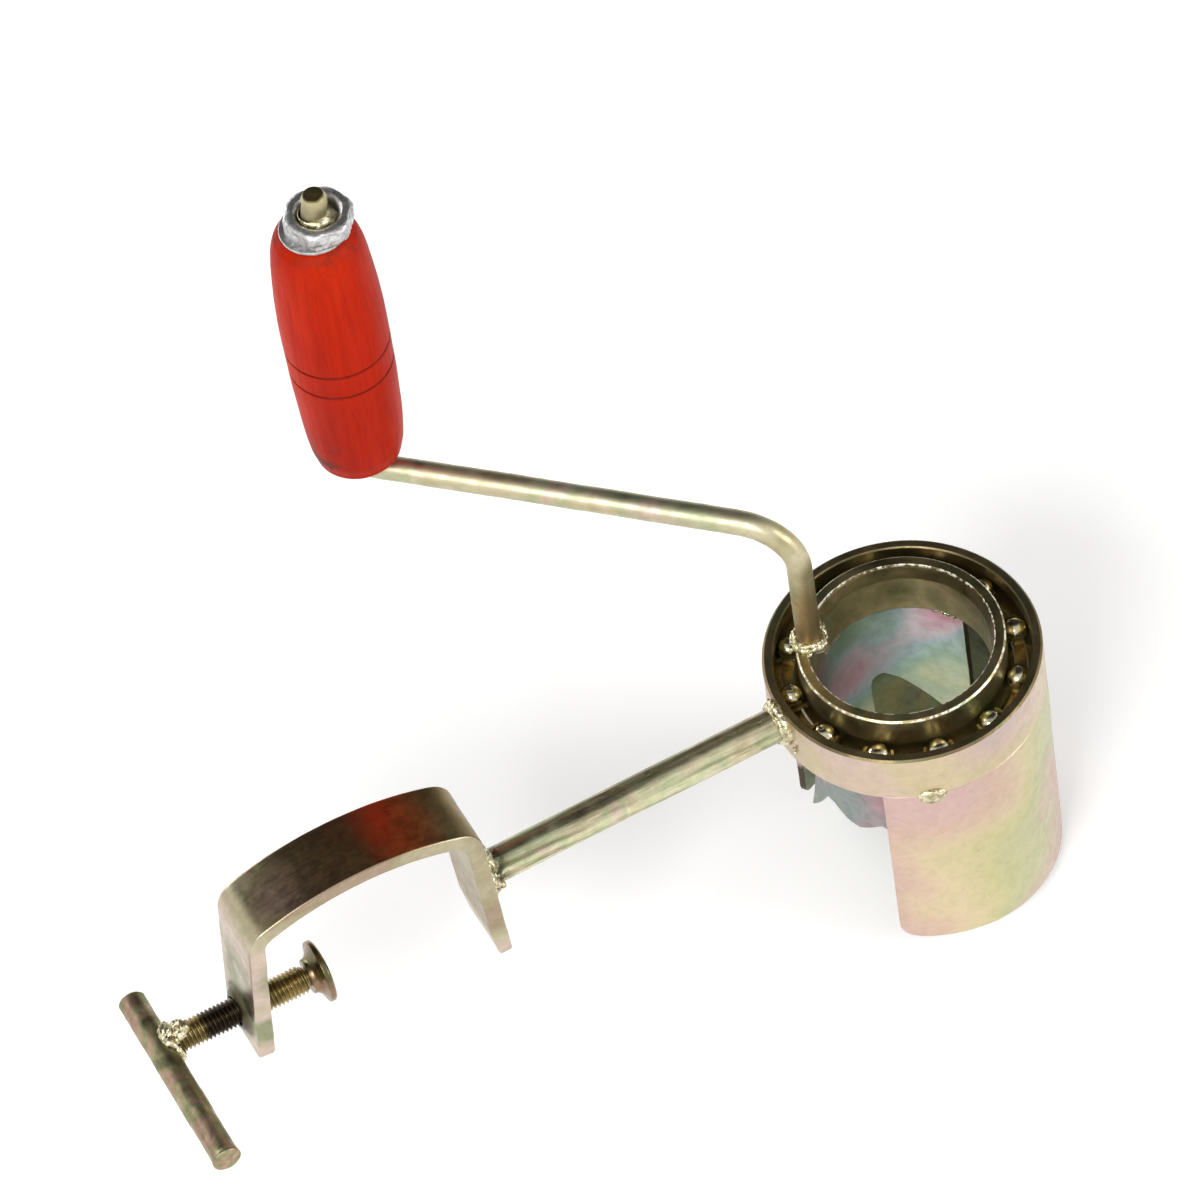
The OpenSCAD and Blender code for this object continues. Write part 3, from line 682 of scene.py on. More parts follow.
pts = [(OUT_R + 0.5, 0), (R - 0.8, 0), (R, -0.8), (R, -W), (OUT_LOW + 0.6, -W), (OUT_LOW, -W + 0.6)]
pts += groove(1) + [(OUT_R, -0.5)]
prof = dense(rounded(pts, [0.25, 0.35, 0.35, 0.3, 0.3, 0.3, 0.12] + [0] * 19 + [0.12, 0.25]), 1.2)
V, F = lathe(prof, 288)
V[:, :2] *= (1 + (0.03 * fnoise(V, 0.03, 3) / R))[:, None]
o = make("outer_race_look", V, F, M_BAND, ["outer_race"])
o.data.materials.append(M_FACE)
o.data.materials.append(M_INNER)
for p in o.data.polygons:
    c = p.center * 1000
    rc = math.hypot(c.x, c.y)
    if c.z > -0.75 and rc > OUT_R + 0.2:
        p.material_index = 1
    elif rc < R - 1 and c.z > -W + 1:
        p.material_index = 2

pts = [(BORE + 1.75, INNER_Z1), (IN_R - 0.7, INNER_Z1), (IN_R, INNER_Z1 - 0.7)] + groove(-1)[::-1]
pts += [(IN_LOW, INNER_Z0 + 0.6), (IN_LOW - 0.6, INNER_Z0), (BORE + 0.8, INNER_Z0), (BORE, INNER_Z0 + 0.8)]
pts += [(BORE, INNER_Z1 - 5.5), (BORE + 1.3, INNER_Z1 - 1.2)]
prof = dense(rounded(pts, [0.3, 0.3, 0.3] + [0.12] + [0] * 19 + [0.12] + [0.3] * 4 + [3, 1.2]), 1.2)
V, F = lathe(prof, 288)
V[:, :2] *= (1 + (0.025 * fnoise(V, 0.04, 5) / R))[:, None]
make("inner_race_look", V, F, M_INNER, ["inner_race"])

parts = []
for i in range(12):
    a = math.radians(PHASE + 30 * i)
    parts.append(blob((PITCH * math.cos(a), PITCH * math.sin(a), BALL_Z), BALL, i, amp=0.0, sub=5))
make("bearing_balls_look", *join(parts), M_BALL, ["bearing_balls"], weighted=False)


cage = bpy.data.objects["bearing_cage"]
cage.data.materials.clear()
cage.data.materials.append(M_CAGE)

# ---------------------------------------------------------------- shroud
k1, k2 = math.tan(math.radians(SKEW_X)), math.tan(math.radians(SKEW_Y))


def sh_bottom(a):
    return -W - SH_L - R * math.cos(a) * k1 - R * math.sin(a) * k2


h = math.radians(SH_H)
L0 = []
for s in np.linspace(-h * R, h * R, 190):
    e = h * R - abs(s)
    z = sh_bottom(s / R)
    if e < SH_C:
        z += SH_C - math.sqrt(max(SH_C ** 2 - (SH_C - e) ** 2, 0))
    L0.append((s, z))
ext = [(-h * R + SH_C * (1 - math.cos(q)), sh_bottom(-h) + SH_C * (1 - math.sin(q)))
       for q in np.linspace(0, 1.57, 9)]
ext2 = [(h * R - SH_C * (1 - math.cos(q)), sh_bottom(h) + SH_C * (1 - math.sin(q)))
        for q in np.linspace(1.57, 0, 9)]
L0 = [p for p in L0 if h * R - abs(p[0]) > SH_C]
outline = dense(ext + L0 + ext2 + [(h * R, -W + 0.01), (-h * R, -W + 0.01)], 1.5)


def sh_map(u, v, w):
    a = u / R
    P = np.stack([R * np.cos(a), R * np.sin(a), v], 1)
    fall = np.clip((-W - v) / 12, 0, 1)
    edge = np.exp(-(h * R - np.abs(u)) / 7.0)
    rad = R - w + fall * (0.10 * fnoise(P, 0.018, 11) + 0.035 * fnoise(P, 0.07, 12) - 0.35 * edge)
    return np.stack([rad * np.cos(a), rad * np.sin(a), v], 1)


def lit_and_shaded_sides(o, inner):
    """Gives the faces that look towards the axis the second material, so that one side of the sheet is a
    painted-shade copy of the other.
    """
    o.data.materials.append(inner)
    for p in o.data.polygons:
        c, n = p.center, p.normal
        if c.x * n.x + c.y * n.y < -0.3 * math.hypot(c.x, c.y):
            p.material_index = 1


o = make("shroud_look", *plate(outline, [], SH_T, 0.5, sh_map, (1.6, 2.2)), M_SHROUD, ["shroud"])
lit_and_shaded_sides(o, M_SHROUD_IN_SHADED)

parts = []
for i, a in enumerate((-108, -8, 48, 106)):
    a = math.radians(a)
    n, rg = 40, [0.0, 0.18, 0.36, 0.52, 0.66, 0.78, 0.88, 0.95, 1.0, 1.02]
    V = []
    for q in rg:
        for j in range(n):
            th = 2 * math.pi * j / n
            px, py = 5.0 * q * math.cos(th), 4.6 * q * math.sin(th)
            if py > 0:
                py *= 0.55
            hh = 1.35 * math.sqrt(max(1 - min(q, 1.0) ** 2.2, 0)) + (-0.3 if q > 1.01 else 0.0)
            aa = a + px / R
            V.append(((R + hh) * math.cos(aa), (R + hh) * math.sin(aa), -W + py))
    V = np.array(V)
    d = fnoise(V, 0.45, 30 + i, 14) * 0.16
    hr = np.hypot(V[:, 0], V[:, 1])
    V[:, :2] *= ((hr + d * (hr > R + 0.05)) / hr)[:, None]
    parts.append((V, grid_faces(len(rg), n, False, True)))
make("shroud_welds_look", *join(parts), M_WELD, ["shroud_welds"])

# ---------------------------------------------------------------- stripper sleeve
def gul(a0, a1, tip=9.0):
    return [(a0, TIP), (a0 + tip - 3, TIP), (a0 + tip + 3, TIP + 3.2),
            (a0 + tip + 14, TIP * 0.72 + ROOT * 0.28), (a1 - 20, TIP * 0.18 + ROOT * 0.82), (a1 - 9, ROOT),
            (a1 - 4, ROOT - 0.3), (a1 - 1.3, ROOT - 1.6), (a1 - 0.05, ROOT - 4.5)]


def blunt(a0, a1):
    return [(a0, TIP), (a0 + 4, TIP), (a0 + 7, TIP + 2), (a0 + 10, TIP + 5), (a0 + 17, TIP + 13),
            (a0 + 20, TIP + 14.5), (a0 + 26, TIP + 14.6), (a0 + 30, TIP + 12.8), (a0 + 36, TIP + 10),
            (a0 + 41, TIP + 9.2), (a0 + 46, TIP + 9.4), (a1 - 12, TIP + 14), (a1 - 3, TIP + 18),
            (a1 - 0.05, TIP + 17)]


TOOTH = [SL_A0 + i * TOOTH_PITCH for i in range(5)]
low = gul(TOOTH[0], TOOTH[1]) + gul(TOOTH[1], TOOTH[2])
low += blunt(TOOTH[2], TOOTH[3]) + gul(TOOTH[3], TOOTH[4])
low += [(TOOTH[4], TIP), (SL_A0 + SL_SPAN, TIP)]
PER_DEG = SL_RO * math.pi / 180
loop = [(a * PER_DEG, z) for a, z in low]
loop += [((SL_A0 + SL_SPAN) * PER_DEG, INNER_Z0), (SL_A0 * PER_DEG, INNER_Z0)]
loop = rounded(loop, [0.9] + [1.2] * (len(low) - 2) + [0.9, 0.4, 0.4], m=3)
loop = dense(loop, 1.0)


def sl_map(u, v, w):
    ad = u / PER_DEG
    a = np.radians(ad)
    drop = np.clip((-40.0 - v) / 36.0, 0, 1.1) ** 1.6
    bend = np.zeros_like(u)
    for e0 in (TOOTH[0], TOOTH[1], TOOTH[3]):
        bend += -2.2 * np.exp(-((ad - (e0 + 34)) / 24.0) ** 2)
    bend += (4.4 * np.exp(-((ad - (TOOTH[2] + 6)) / 11.0) ** 2)
             - 3.0 * np.exp(-((ad - (TOOTH[2] + 43)) / 15.0) ** 2))
    P = np.stack([SL_RO * np.cos(a), SL_RO * np.sin(a), v], 1)
    rad = SL_RO - w + drop * bend + 0.06 * fnoise(P, 0.05, 21)
    return np.stack([rad * np.cos(a), rad * np.sin(a), v], 1)


# The outer faces get the painted-shade copy and the inner faces get the lit zinc.
o = make("stripper_sleeve_look", *plate(loop, [], SL_T, 0.45, sl_map, (1.2, 1.6)), M_SLEEVE_OUT_SHADED,
         ["stripper_sleeve"])
lit_and_shaded_sides(o, M_SLEEVE)

parts = []
for i, c in enumerate((36, 118, 196, 262, 322)):
    for rad, r0 in ((SL_RO - SL_T + 0.15, 1.0), (SL_RO + 0.15, 1.15)):
        t = np.radians(np.linspace(c - 9, c + 9, 60))
        path = np.stack([rad * np.cos(t), rad * np.sin(t), np.full(60, INNER_Z0 - 0.15)], 1)
        parts.append(bead(path, r0, 40 + i, ripple=0.14, pitch=1.3))
make("sleeve_welds_look", *join(parts), M_WELD, ["sleeve_welds"])

# ---------------------------------------------------------------- crank
def at_arm(s, z):
    return [FOOT[0] + ARM_U[0] * s, FOOT[1] + ARM_U[1] * s, z]


path = [at_arm(0, z) for z in np.linspace(INNER_Z1 - 0.6, ARM_Z - BEND_FOOT, 24)]
path += [at_arm(BEND_FOOT - BEND_FOOT * math.cos(t), ARM_Z - BEND_FOOT + BEND_FOOT * math.sin(t))
         for t in np.linspace(0, math.pi / 2, 28)[1:]]
path += [at_arm(s, ARM_Z) for s in np.linspace(BEND_FOOT, ARM_L - BEND_GRIP, 70)[1:]]
path += [at_arm(ARM_L - BEND_GRIP + BEND_GRIP * math.sin(t), ARM_Z + BEND_GRIP - BEND_GRIP * math.cos(t))
         for t in np.linspace(0, math.pi / 2, 20)[1:]]
path += [at_arm(ARM_L, z) for z in np.linspace(ARM_Z + BEND_GRIP, PIN_TOP, 60)[1:]]
P, rad = rounded_ends(path, ROD, 0.7)
rad = np.where(P[:, 2] > PIN_TOP - 1.8, np.minimum(rad, ROD - 0.6 * (P[:, 2] - PIN_TOP + 1.8)), rad)
V, F = sweep(P, rad, 64)
V[:, 0] += 2.0 * np.clip((V[:, 2] - GRIP_Z1) / 12, 0, 1) ** 1.5
V += (0.035 * fnoise(V, 0.03, 61) + 0.015 * fnoise(V, 0.2, 62))[:, None] * np.array([1, 1, 0.4])
make("crank_rod_look", V, F, M_ROD, ["crank_rod"])

t = np.linspace(0, 2 * math.pi, 121)
ring = np.stack([FOOT[0] + (ROD + 0.7) * np.cos(t), FOOT[1] + (ROD + 0.7) * np.sin(t),
                 INNER_Z1 + 0.55 + 0.25 * np.sin(3 * t)], 1)
parts = [bead(ring, 1.75, 70, closed=True, ripple=0.16, pitch=2.0, lump=0.3)]
ring2 = ring + [0, 0, 1.3]
ring2[:, :2] = FOOT + (ring[:, :2] - FOOT) * 0.93
parts.append(bead(ring2, 1.05, 71, closed=True, ripple=0.2, pitch=1.5, lump=0.35))
t = FOOT_A + np.radians(np.linspace(-13, 13, 40))
fill = np.stack([31.0 * np.cos(t), 31.0 * np.sin(t), np.full(40, INNER_Z1 - 0.7)], 1)
parts.append(bead(fill, 1.1, 72, ripple=0.16, pitch=1.7, lump=0.3))
g = np.random.default_rng(5)
for i in range(16):
    aa, dd = g.random() * 2 * math.pi, 6.2 + 3.6 * g.random()
    p = FOOT + dd * np.array([math.cos(aa), math.sin(aa)])
    if 32.2 < math.hypot(*p) < 34.6:
        parts.append(blob((p[0], p[1], INNER_Z1 + 0.1), 0.25 + 0.4 * g.random(), 80 + i, sub=2))
make("crank_weld_look", *join(parts), M_WELD, ["crank_weld"])

# ---------------------------------------------------------------- grip
gr = [(0, 10.9), (0.35, 12.0), (0.9, 13.0), (1.8, 13.8), (2.8, 14.5), (9, 15.9), (17, 16.6), (24, 17.0),
      (30, 17.2), (42, 17.7), (52, 17.8), (62, 17.9), (72, 17.85), (82, 17.5), (90, 17.0), (99, 16.35),
      (104.2, 15.8), (108.2, 15.1), (111.4, 13.9), (113.4, 12.4), (GRIP_LEN - 0.2, 11.6), (GRIP_LEN, 11.0)]
zz, rr = np.array([p[0] for p in gr]), np.array([p[1] for p in gr])
fine = [gz + d for gz in GROOVES for d in np.linspace(-0.9, 0.9, 13)]
zs = np.unique(np.r_[zz, np.linspace(0, GRIP_LEN, 120), fine])
rs = np.interp(zs, zz, rr)
ker = np.exp(-((zs[:, None] - zs[None]) / 2.2) ** 2)
mid = (zs > 4) & (zs < GRIP_LEN - 5)
rs = np.where(mid, (ker * rs[None]).sum(1) / ker.sum(1), rs)
for gz in GROOVES:
    rs = rs - 0.5 * np.exp(-((zs - gz) / 0.36) ** 2)
prof = [(GRIP_BORE, 0.0)] + list(zip(rs, zs)) + [(GRIP_BORE, GRIP_LEN)]
prof += [(GRIP_BORE, z) for z in np.linspace(GRIP_LEN, 0, 6)[1:-1]]
V, F = lathe(prof, 160, True, (GRIP[0], GRIP[1], GRIP_Z0))
d = V[:, :2] - GRIP
rr = np.hypot(d[:, 0], d[:, 1])
th = np.arctan2(d[:, 1], d[:, 0])
grain = np.stack([np.cos(th) * 40, np.sin(th) * 40, V[:, 2] * 0.2], 1)
wob = 0.05 * fnoise(V, 0.02, 91) + 0.018 * fnoise(grain, 0.3, 92)
V[:, :2] += d / rr[:, None] * (wob * (rr > 8))[:, None]
make("grip_look", V, F, M_WOOD, ["grip"])

pr = dense(rounded([(ROD, -1.1), (8.5, -1.1), (8.5, -0.3), (ROD, -0.3)], 0.22, m=3), 0.8)
V, F = lathe(pr, 96, True, (GRIP[0], GRIP[1], GRIP_Z0))
make("grip_washer_lower_look", V, F, M_PAD, ["grip_washer_lower"])
pr = dense(rounded([(ROD, -1.2), (11.6, -1.2), (11.6, 0), (ROD, 0)], 0.3, m=3), 0.8)
V, F = lathe(pr, 120, True, (GRIP[0], GRIP[1], NUT_Z0))
V[:, 2] += 0.08 * fnoise(V, 0.05, 95) * (np.hypot(V[:, 0] - GRIP[0], V[:, 1] - GRIP[1]) > 9)
make("grip_washer_upper_look", V, F, M_NUT, ["grip_washer_upper"])

# hex nut: across flats, thickness, hole radius; a lathe whose radius follows the six flats
NUT_AF, NUT_T, NUT_HOLE = 21.4, 6.6, 7.1
n, rot = 240, math.radians(-8)
t = np.linspace(0, 2 * math.pi, n, endpoint=False)
rel = (t - rot) % (math.pi / 3) - math.pi / 6
hexr = NUT_AF / 2 / np.cos(rel)
hexr = -np.log(np.exp(-hexr * 6) + np.exp(-(NUT_AF / 2 + 1.25) * 6)) / 6
rows = []
for z, lim in ((0.0, 0.35), (0.25, 0.75), (0.6, 99), (1.5, 99), (3.0, 99), (4.5, 99), (5.3, 1.1),
               (5.9, 0.55), (6.3, -0.1), (6.52, -0.8), (NUT_T, -1.6)):
    rows.append((np.minimum(hexr, NUT_AF / 2 + lim), np.full(n, z)))
for r, z in ((1.5, NUT_T), (1.1, NUT_T - 0.03), (0.75, NUT_T - 0.25), (0, NUT_T - 1.0), (0, NUT_T - 2.5),
             (0, 2.0), (0, 0.6), (0.5, 0.0), (1.8, 0.0)):
    rows.append((np.full(n, NUT_HOLE + r), np.full(n, z)))
V = np.stack([np.stack([a * np.cos(t), a * np.sin(t), z], 1) for a, z in rows], 1)
V = V.reshape(-1, 3)
hr = np.hypot(V[:, 0], V[:, 1])
amp = 0.10 * fnoise(V, 0.16, 101) + 0.05 * fnoise(V, 0.5, 102)
V[:, :2] *= (1 + amp / hr)[:, None]
V[:, 2] += 0.10 * fnoise(V, 0.14, 103) * (V[:, 2] > 4)
V += np.array([NUT[0], NUT[1], NUT_Z0])
make("spindle_nut_look", V, grid_faces(n, len(rows), True, True), M_NUT, ["spindle_nut"])

pr = [(0.6, 0.02), (0.995, 0.02), (0.995, 2.4), (0.96, 3.0), (0.90, 3.8), (0.84, 4.6), (0.77, 5.4),
      (0.70, 6.1), (0.62, 6.6), (0.56, 6.7)]
pr = dense(np.array(pr) * [NUT_HOLE, 1], 0.6)
V, F = lathe(pr, 96, True)
k = np.clip((np.hypot(V[:, 0], V[:, 1]) - ROD) / (NUT_HOLE - ROD), 0, 1)
V[:, :2] += GRIP + k[:, None] * (NUT - GRIP)
V[:, 2] += NUT_Z0 + 0.25 * fnoise(V, 0.2, 110) * (V[:, 2] > 1)
make("nut_weld_look", V, F, M_WELD, ["nut_weld"])

# ---------------------------------------------------------------- clamp strip
def unit(v):
    v = np.array(v, float)
    return v / np.linalg.norm(v)


# thickness and width; a point and the end of each leg; centre, radius and corners of the bow
STRIP_T, STRIP_W = 6.0, 25.0
LEG_R, LEG_R_END = np.array([-165.5, 18.0]), np.array([-162.4, -41.6])
LEG_L, LEG_L_END = np.array([-246.4, 17.0]), np.array([-250.9, -35.4])
LEG_R_U, LEG_L_U = unit(LEG_R_END - LEG_R), unit(LEG_L_END - LEG_L)
LEG_R_N, LEG_L_N = np.array([LEG_R_U[1], -LEG_R_U[0]]), np.array([-LEG_L_U[1], LEG_L_U[0]])
BOW_C, BOW_R, CORNER = np.array([-205.5, 36 - 98.0]), 95.0, 7.5


def corner(p, u, nn):
    d = p + CORNER * nn - BOW_C
    return p + CORNER * nn + (-(d @ u) - math.sqrt((d @ u) ** 2 - d @ d + (BOW_R - CORNER) ** 2)) * u


CORNER_RC, CORNER_LC = corner(LEG_R, LEG_R_U, LEG_R_N), corner(LEG_L, LEG_L_U, LEG_L_N)
ang = lambda v: math.atan2(v[1], v[0])
ra, la, rb, lb = ang(-LEG_R_N), ang(-LEG_L_N), ang(CORNER_RC - BOW_C), ang(CORNER_LC - BOW_C)
mid, nor = [], []
for s in np.linspace(0, 1, 60):
    mid.append(LEG_R_END + (CORNER_RC - CORNER * LEG_R_N - LEG_R_END) * s)
    nor.append(-LEG_R_N)
for c, r, a0, a1, k in ((CORNER_RC, CORNER, ra, rb, 24), (BOW_C, BOW_R, rb, lb, 70),
                        (CORNER_LC, CORNER, lb, la, 24)):
    for s in np.linspace(a0, a1, k)[1:]:
        mid.append(c + r * np.array([math.cos(s), math.sin(s)]))
        nor.append(np.array([math.cos(s), math.sin(s)]))
e0 = CORNER_LC - CORNER * LEG_L_N
for s in np.linspace(0, 1, 56)[1:]:
    mid.append(e0 + (LEG_L_END - e0) * s)
    nor.append(-LEG_L_N)
mid, nor = np.array(mid), np.array(nor)
S = np.r_[0, np.cumsum(np.linalg.norm(np.diff(mid, axis=0), axis=1))]
s_hole = S[-1] - np.linalg.norm(LEG_L_END - (LEG_L + LEG_L_U * (SCREW_Z - LEG_L[1]) / LEG_L_U[1]))
outline = [(0, -STRIP_W / 2), (S[-1], -STRIP_W / 2), (S[-1], STRIP_W / 2), (0, STRIP_W / 2)]
outline = dense(rounded(outline, 1.6, m=5), 1.6)
t = np.linspace(0, 2 * math.pi, 56, endpoint=False)[::-1]
hole = np.stack([s_hole + 5.1 * np.cos(t), 5.1 * np.sin(t)], 1)


def strip_map(u, v, w):
    uu = np.clip(u, 0, S[-1])
    mx, mz = np.interp(uu, S, mid[:, 0]), np.interp(uu, S, mid[:, 1])
    nx, nz = np.interp(uu, S, nor[:, 0]), np.interp(uu, S, nor[:, 1])
    P = np.stack([mx, v, mz], 1)
    wob = 0.07 * fnoise(P, 0.02, 121) + 0.03 * fnoise(P, 0.08, 122)
    thin = np.clip((13 - uu) / 13, 0, 1) * 1.3
    depth = STRIP_T / 2 - w * (1 - thin / STRIP_T) + wob
    k = 1 + 0.010 * np.sign(w - 3) * (np.exp(-((uu - S[60]) / 9) ** 2) + np.exp(-((uu - S[-56]) / 9) ** 2))
    hd = np.hypot(uu - s_hole, v)
    depth = depth + np.where(w < 3, 2.3 * np.clip((9.2 - hd) / 2.9, 0, 1) ** 0.8, 0)
    return np.stack([mx + nx * depth, v * k, mz + nz * depth], 1)


V, F = plate(outline, [hole], STRIP_T, 0.8, strip_map, (1.3, 1.3), m=4)
make("clamp_frame_look", V, F, M_CLAMP, ["clamp_frame"])

# ---------------------------------------------------------------- connecting rod
LINK_X = LEG_R[0] + LEG_R_U[0] * (LINK_Z - DROP - LEG_R[1]) / LEG_R_U[1]
LINK_LEN = math.hypot(LINK_X + R, DROP)
LINK_DIR = np.array([LINK_X + R, 0, -DROP]) / LINK_LEN


def on_link(s, y, z):
    """Points s along the rod from the ring, y across it and z above it."""
    s, y, z = np.broadcast_arrays(np.asarray(s, float), y, z)
    dx, _, dz = LINK_DIR
    return np.stack([-R + s * dx + z * dz, y, LINK_Z + s * dz - z * dx], -1)


V, F = sweep(on_link(np.linspace(LINK_LEN - 1.5, -0.4, 90), 0, 0), LINK, 72)
V[:, 1:] += (0.05 * fnoise(V * [0.25, 1, 1], 0.06, 131))[:, None]
make("connecting_rod_look", V, F, M_LINK, ["connecting_rod"])

t = np.linspace(0, 2 * math.pi, 161)
y, z = (LINK + 0.5) * np.cos(t), LINK_Z + (LINK + 0.5) * np.sin(t)
z = np.minimum(z, -0.9)
path = np.stack([-np.sqrt(R ** 2 - y ** 2) - 0.5, y, z], 1)
parts = [bead(path, 1.75, 140, closed=True, ripple=0.14, pitch=2.2, lump=0.3)]
path2 = path * [1, 0.93, 1] + [-1.5, 0, 0]
path2[:, 2] = LINK_Z + (path2[:, 2] - LINK_Z) * 0.95
parts.append(bead(path2, 1.15, 141, closed=True, ripple=0.16, pitch=1.8, lump=0.35))
for i in range(7):
    c = (-47.3 + 0.2 * g.random(), -9 + 18 * g.random() * (i % 2), -12 - 3.5 * g.random())
    parts.append(blob(c, 0.3 + 0.35 * g.random(), 150 + i, sub=2))
make("rod_weld_bearing_look", *join(parts), M_WELD, ["rod_weld_bearing"])

lean = 0.03 * (LINK + 0.8) * np.sin(t)
path = on_link(LINK_LEN - 2.9 - lean, (LINK + 1.0) * np.cos(t), (LINK + 1.0) * np.sin(t))
parts = [bead(path, 2.3, 160, closed=True, ripple=0.18, pitch=2.3, lump=0.42)]
path = on_link(LINK_LEN - 5.4, (LINK + 0.5) * np.cos(t), (LINK + 0.5) * np.sin(t))
parts.append(bead(path, 1.4, 161, closed=True, ripple=0.2, pitch=1.7, lump=0.5))
spatter = [(5.2, 3.9), (6.6, 4.3), (4.6, 4.6), (6.9, 3.6), (5.8, 5.0), (4.4, 1.2), (6.2, 0.8)]
for i, (s, q) in enumerate(spatter):
    c = on_link(LINK_LEN - s, (LINK + 0.9) * math.cos(q), (LINK + 0.9) * math.sin(q))
    parts.append(blob(c, 1.2 + 0.5 * g.random(), 170 + i, sub=3))
make("rod_weld_clamp_look", *join(parts), M_WELD, ["rod_weld_clamp"])

# ---------------------------------------------------------------- screw, pad, T-bar
pitch, n = 1.5, 60
L = SCREW_X1 - 3.4 - SCREW_X0
xs = np.arange(0, L + 1e-6, pitch / 12)
th = np.linspace(0, 2 * math.pi, n, endpoint=False)
X, T = np.meshgrid(xs, th, indexing="ij")
ph = (X / pitch - T / (2 * math.pi)) % 1.0
tri = 1 - np.abs(2 * ph - 1)
tooth = np.clip((tri - 0.12) / 0.70, 0, 1)
dep = 0.86 * (1 - tooth) * np.clip(X / 1.5, 0, 1) * np.clip((L - X) / 1.5, 0, 1)
cham = np.clip((1.2 - (L - X)) / 1.2, 0, 1) * 1.0
rad = 5.0 - dep - cham
V = np.stack([SCREW_X0 + X, rad * np.cos(T), SCREW_Z + rad * np.sin(T)], 2).reshape(-1, 3)
V[:, 1:] += (0.03 * fnoise(V, 0.2, 171))[:, None]
F = grid_faces(len(xs), n, False, True)
k = len(V)
V = np.vstack([V, [SCREW_X0, 0, SCREW_Z], [SCREW_X0 + L, 0, SCREW_Z]])
e = (len(xs) - 1) * n
F += [(k, (j + 1) % n, j) for j in range(n)] + [(k + 1, e + j, e + (j + 1) % n) for j in range(n)]
tail = rounded([(0, L - 0.5), (3.2, L - 0.5), (3.2, L + 1.0), (0, L + 1.0)], [0, 0.2, 0.3, 0], False)
tail = lathe(dense(tail, 1.0, False), 48, False, (SCREW_X0, 0, SCREW_Z), "x")
make("clamp_screw_look", *join([(V, F), tail]), M_SCREW, ["clamp_screw"])

pr = [(3.28, -2.6), (6.2, -2.6), (6.25, -1.6), (6.7, -0.9), (7.5, -0.2), (8.6, 0.35), (9.8, 0.8),
      (11.0, 1.25), (11.0, 2.8), (10.3, 3.5), (5.0, 3.5), (0, 3.35), (0, 1.3), (3.28, 1.3)]
pr = dense(rounded(pr, [0.25, 0.3, 0, 0, 0, 0, 0, 0.35, 0.5, 0.5, 0, 0, 0, 0.1], m=4), 0.9)
V, F = lathe(pr, 128, True, (SCREW_X1, 0, SCREW_Z), "x")
V[:, 0] += 0.06 * fnoise(V, 0.08, 181)
make("screw_pad_look", V, F, M_PAD, ["screw_pad"])

tx = SCREW_X0 - 4.7
pr = [(0, -52.4), (4.5, -52.4), (5.0, -52.0), (5.0, -51.3), (4.7, -50.1), (4.7, 21.9), (4.1, 22.6),
      (0, 22.6)]
pr = dense(rounded(pr, [0, 0.25, 0.3, 0.4, 0.8, 0.3, 0.3, 0], False, m=3), 1.0, False)
V, F = lathe(pr, 64, False, (tx, 0, SCREW_Z), "y")
V[:, [0, 2]] += (0.07 * fnoise(V, 0.06, 191) + 0.03 * fnoise(V, 0.3, 192))[:, None] * np.array([1, -0.6])
make("t_bar_look", V, F, M_TBAR, ["t_bar"])

path = []
for q in np.linspace(0, 2 * math.pi, 141):
    yy, z1 = 5.9 * math.cos(q), 5.9 * math.sin(q)
    xx = tx + math.sqrt(max(4.7 ** 2 - z1 ** 2 * 0.55, 1.0)) + 0.2
    path.append((xx, yy, SCREW_Z + min(max(z1, -4.6), 4.6)))
parts = [bead(path, 1.45, 200, closed=True, ripple=0.2, pitch=2.0, lump=0.3)]
top = [(tx + 0.9 + x, 0.5 * math.sin(x * 1.1), SCREW_Z + 4.5 + 0.25 * math.sin(x))
       for x in np.linspace(0, 10.4, 70)]
for dy, r0, k in ((0.0, 2.5, 202), (-2.1, 1.9, 203), (2.2, 1.7, 204)):
    row = np.array(top)[abs(int(dy * 2)):len(top) - abs(int(dy * 5))] + [0, dy, -0.35 * abs(dy)]
    parts.append(bead(row, r0, k, ripple=0.16, pitch=2.4, lump=0.3))
make("t_bar_weld_look", *join(parts), M_WELD, ["t_bar_weld"])

# ---------------------------------------------------------------- studio
FLOOR_Z = -0.1105
floor_mat = Mat("paper")
fn = floor_mat.noise(3.0, 4.0)
floor_mat.b.inputs["Emission Color"].default_value = (1, 1, 1, 1)
floor_mat.b.inputs["Emission Strength"].default_value = 0.2
tone = floor_mat.ramp(fn, [(0.3, (0.90, 0.90, 0.90, 1)), (0.7, (0.93, 0.93, 0.925, 1))])
grit = floor_mat.bump(floor_mat.noise(900.0, 3.0), 0.05, 0.0001)
floor_mat.set(Base_Color=tone, Roughness=0.9, Normal=grit)
me = bpy.data.meshes.new("floor")
corners = [(x, y, FLOOR_Z) for x, y in ((-6, -6), (6, -6), (6, 6), (-6, 6))]
me.from_pydata(corners, [], [(0, 1, 2, 3)])
me.materials.append(floor_mat.m)
floor = bpy.data.objects.new("floor", me)
bpy.context.scene.collection.objects.link(floor)


def softbox(name, loc, target, size, power):
    d = bpy.data.lights.new(name, "AREA")
    d.shape, d.size, d.size_y = "RECTANGLE", size[0], size[1]
    d.energy = power
    o = bpy.data.objects.new(name, d)
    o.location = loc
    o.rotation_euler = (Vector(target) - Vector(loc)).to_track_quat("-Z", "Y").to_euler()
    bpy.context.scene.collection.objects.link(o)


softbox("key", (-1.5, -1.3, 1.7), (-0.08, 0, 0), (1.1, 0.8), 38)
softbox("fill", (1.4, -1.2, 0.9), (0, 0, 0), (0.9, 0.9), 16)
softbox("back", (-0.9, 1.7, 0.55), (-0.1, 0, 0), (1.2, 0.5), 12)

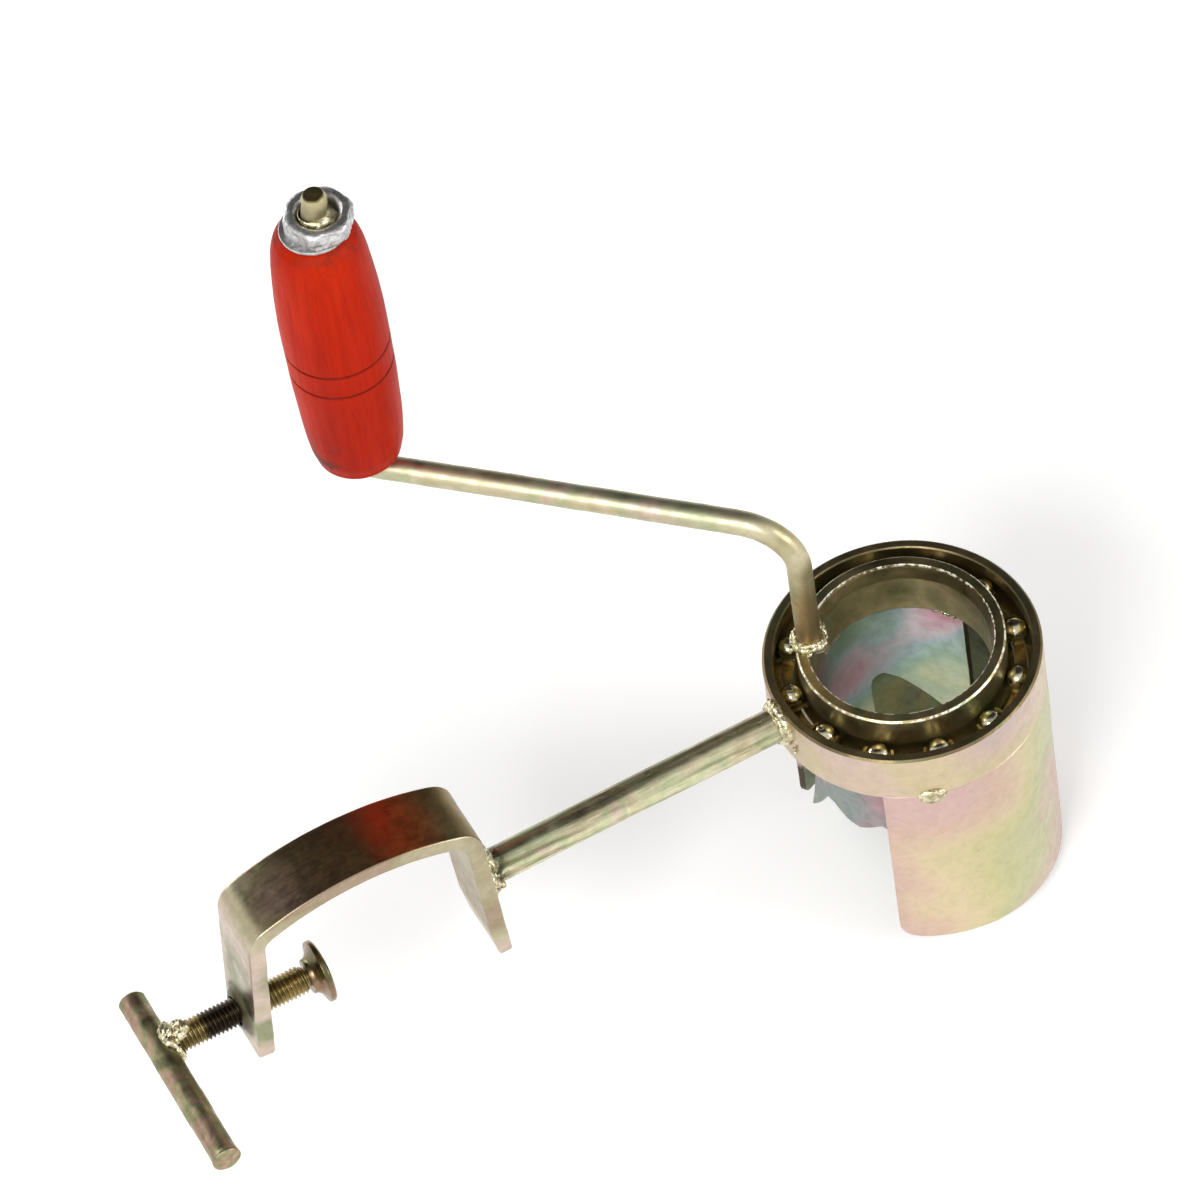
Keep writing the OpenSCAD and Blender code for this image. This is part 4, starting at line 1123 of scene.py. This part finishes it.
world = bpy.data.worlds.new("studio")
bpy.context.scene.world = world
world.use_nodes = True
t = world.node_tree
t.nodes.clear()
wo, bg = t.nodes.new("ShaderNodeOutputWorld"), t.nodes.new("ShaderNodeBackground")
tc = t.nodes.new("ShaderNodeTexCoord")
dot = t.nodes.new("ShaderNodeVectorMath")
dot.operation = "DOT_PRODUCT"
t.links.new(tc.outputs["Generated"], dot.inputs[0])
dot.inputs[1].default_value = Vector((0.20, 0.60, 0.77)).normalized()
rp = t.nodes.new("ShaderNodeValToRGB")
rp.color_ramp.interpolation = "EASE"
for e, (p, c) in zip([rp.color_ramp.elements[0], rp.color_ramp.elements[1]], ((0.45, 1.0), (0.86, 0.05))):
    e.position = p
    e.color = (c, c, c * 0.99, 1)
t.links.new(dot.outputs["Value"], rp.inputs[0])
t.links.new(rp.outputs[0], bg.inputs[0])
bg.inputs[1].default_value = 0.85
t.links.new(bg.outputs[0], wo.inputs[0])

# ---------------------------------------------------------------- camera
cam = bpy.data.cameras.new("camera")
# Degrees, metres, and how far right and below the view's centre the origin lies (tangents).
AZ, EL, ROLL, AIM_X, AIM_Y, D = -19.5, 51.533, -9.912, 0.037744, 0.006162, 2.6969
cam.sensor_width = 36
cam.lens = 240
cam.clip_end = 60
a, e, r = map(math.radians, (AZ, EL, ROLL))
back = np.array([math.sin(a) * math.cos(e), -math.cos(a) * math.cos(e), math.sin(e)])
right = np.cross(-back, [0, 0, 1])
right /= np.linalg.norm(right)
up = np.cross(right, -back)
r2 = math.cos(r) * right + math.sin(r) * up
u2 = -math.sin(r) * right + math.cos(r) * up
ray = np.array([AIM_X, AIM_Y, 1.0])
ray /= np.linalg.norm(ray)
loc = -(r2 * ray[0] - u2 * ray[1] - back * ray[2]) * D
co = bpy.data.objects.new("camera", cam)
co.matrix_world = Matrix([*zip(r2, u2, back, loc), (0, 0, 0, 1)])
bpy.context.scene.collection.objects.link(co)
bpy.context.scene.camera = co
bpy.context.scene.view_settings.view_transform = "Standard"
bpy.context.scene.view_settings.look = "None"
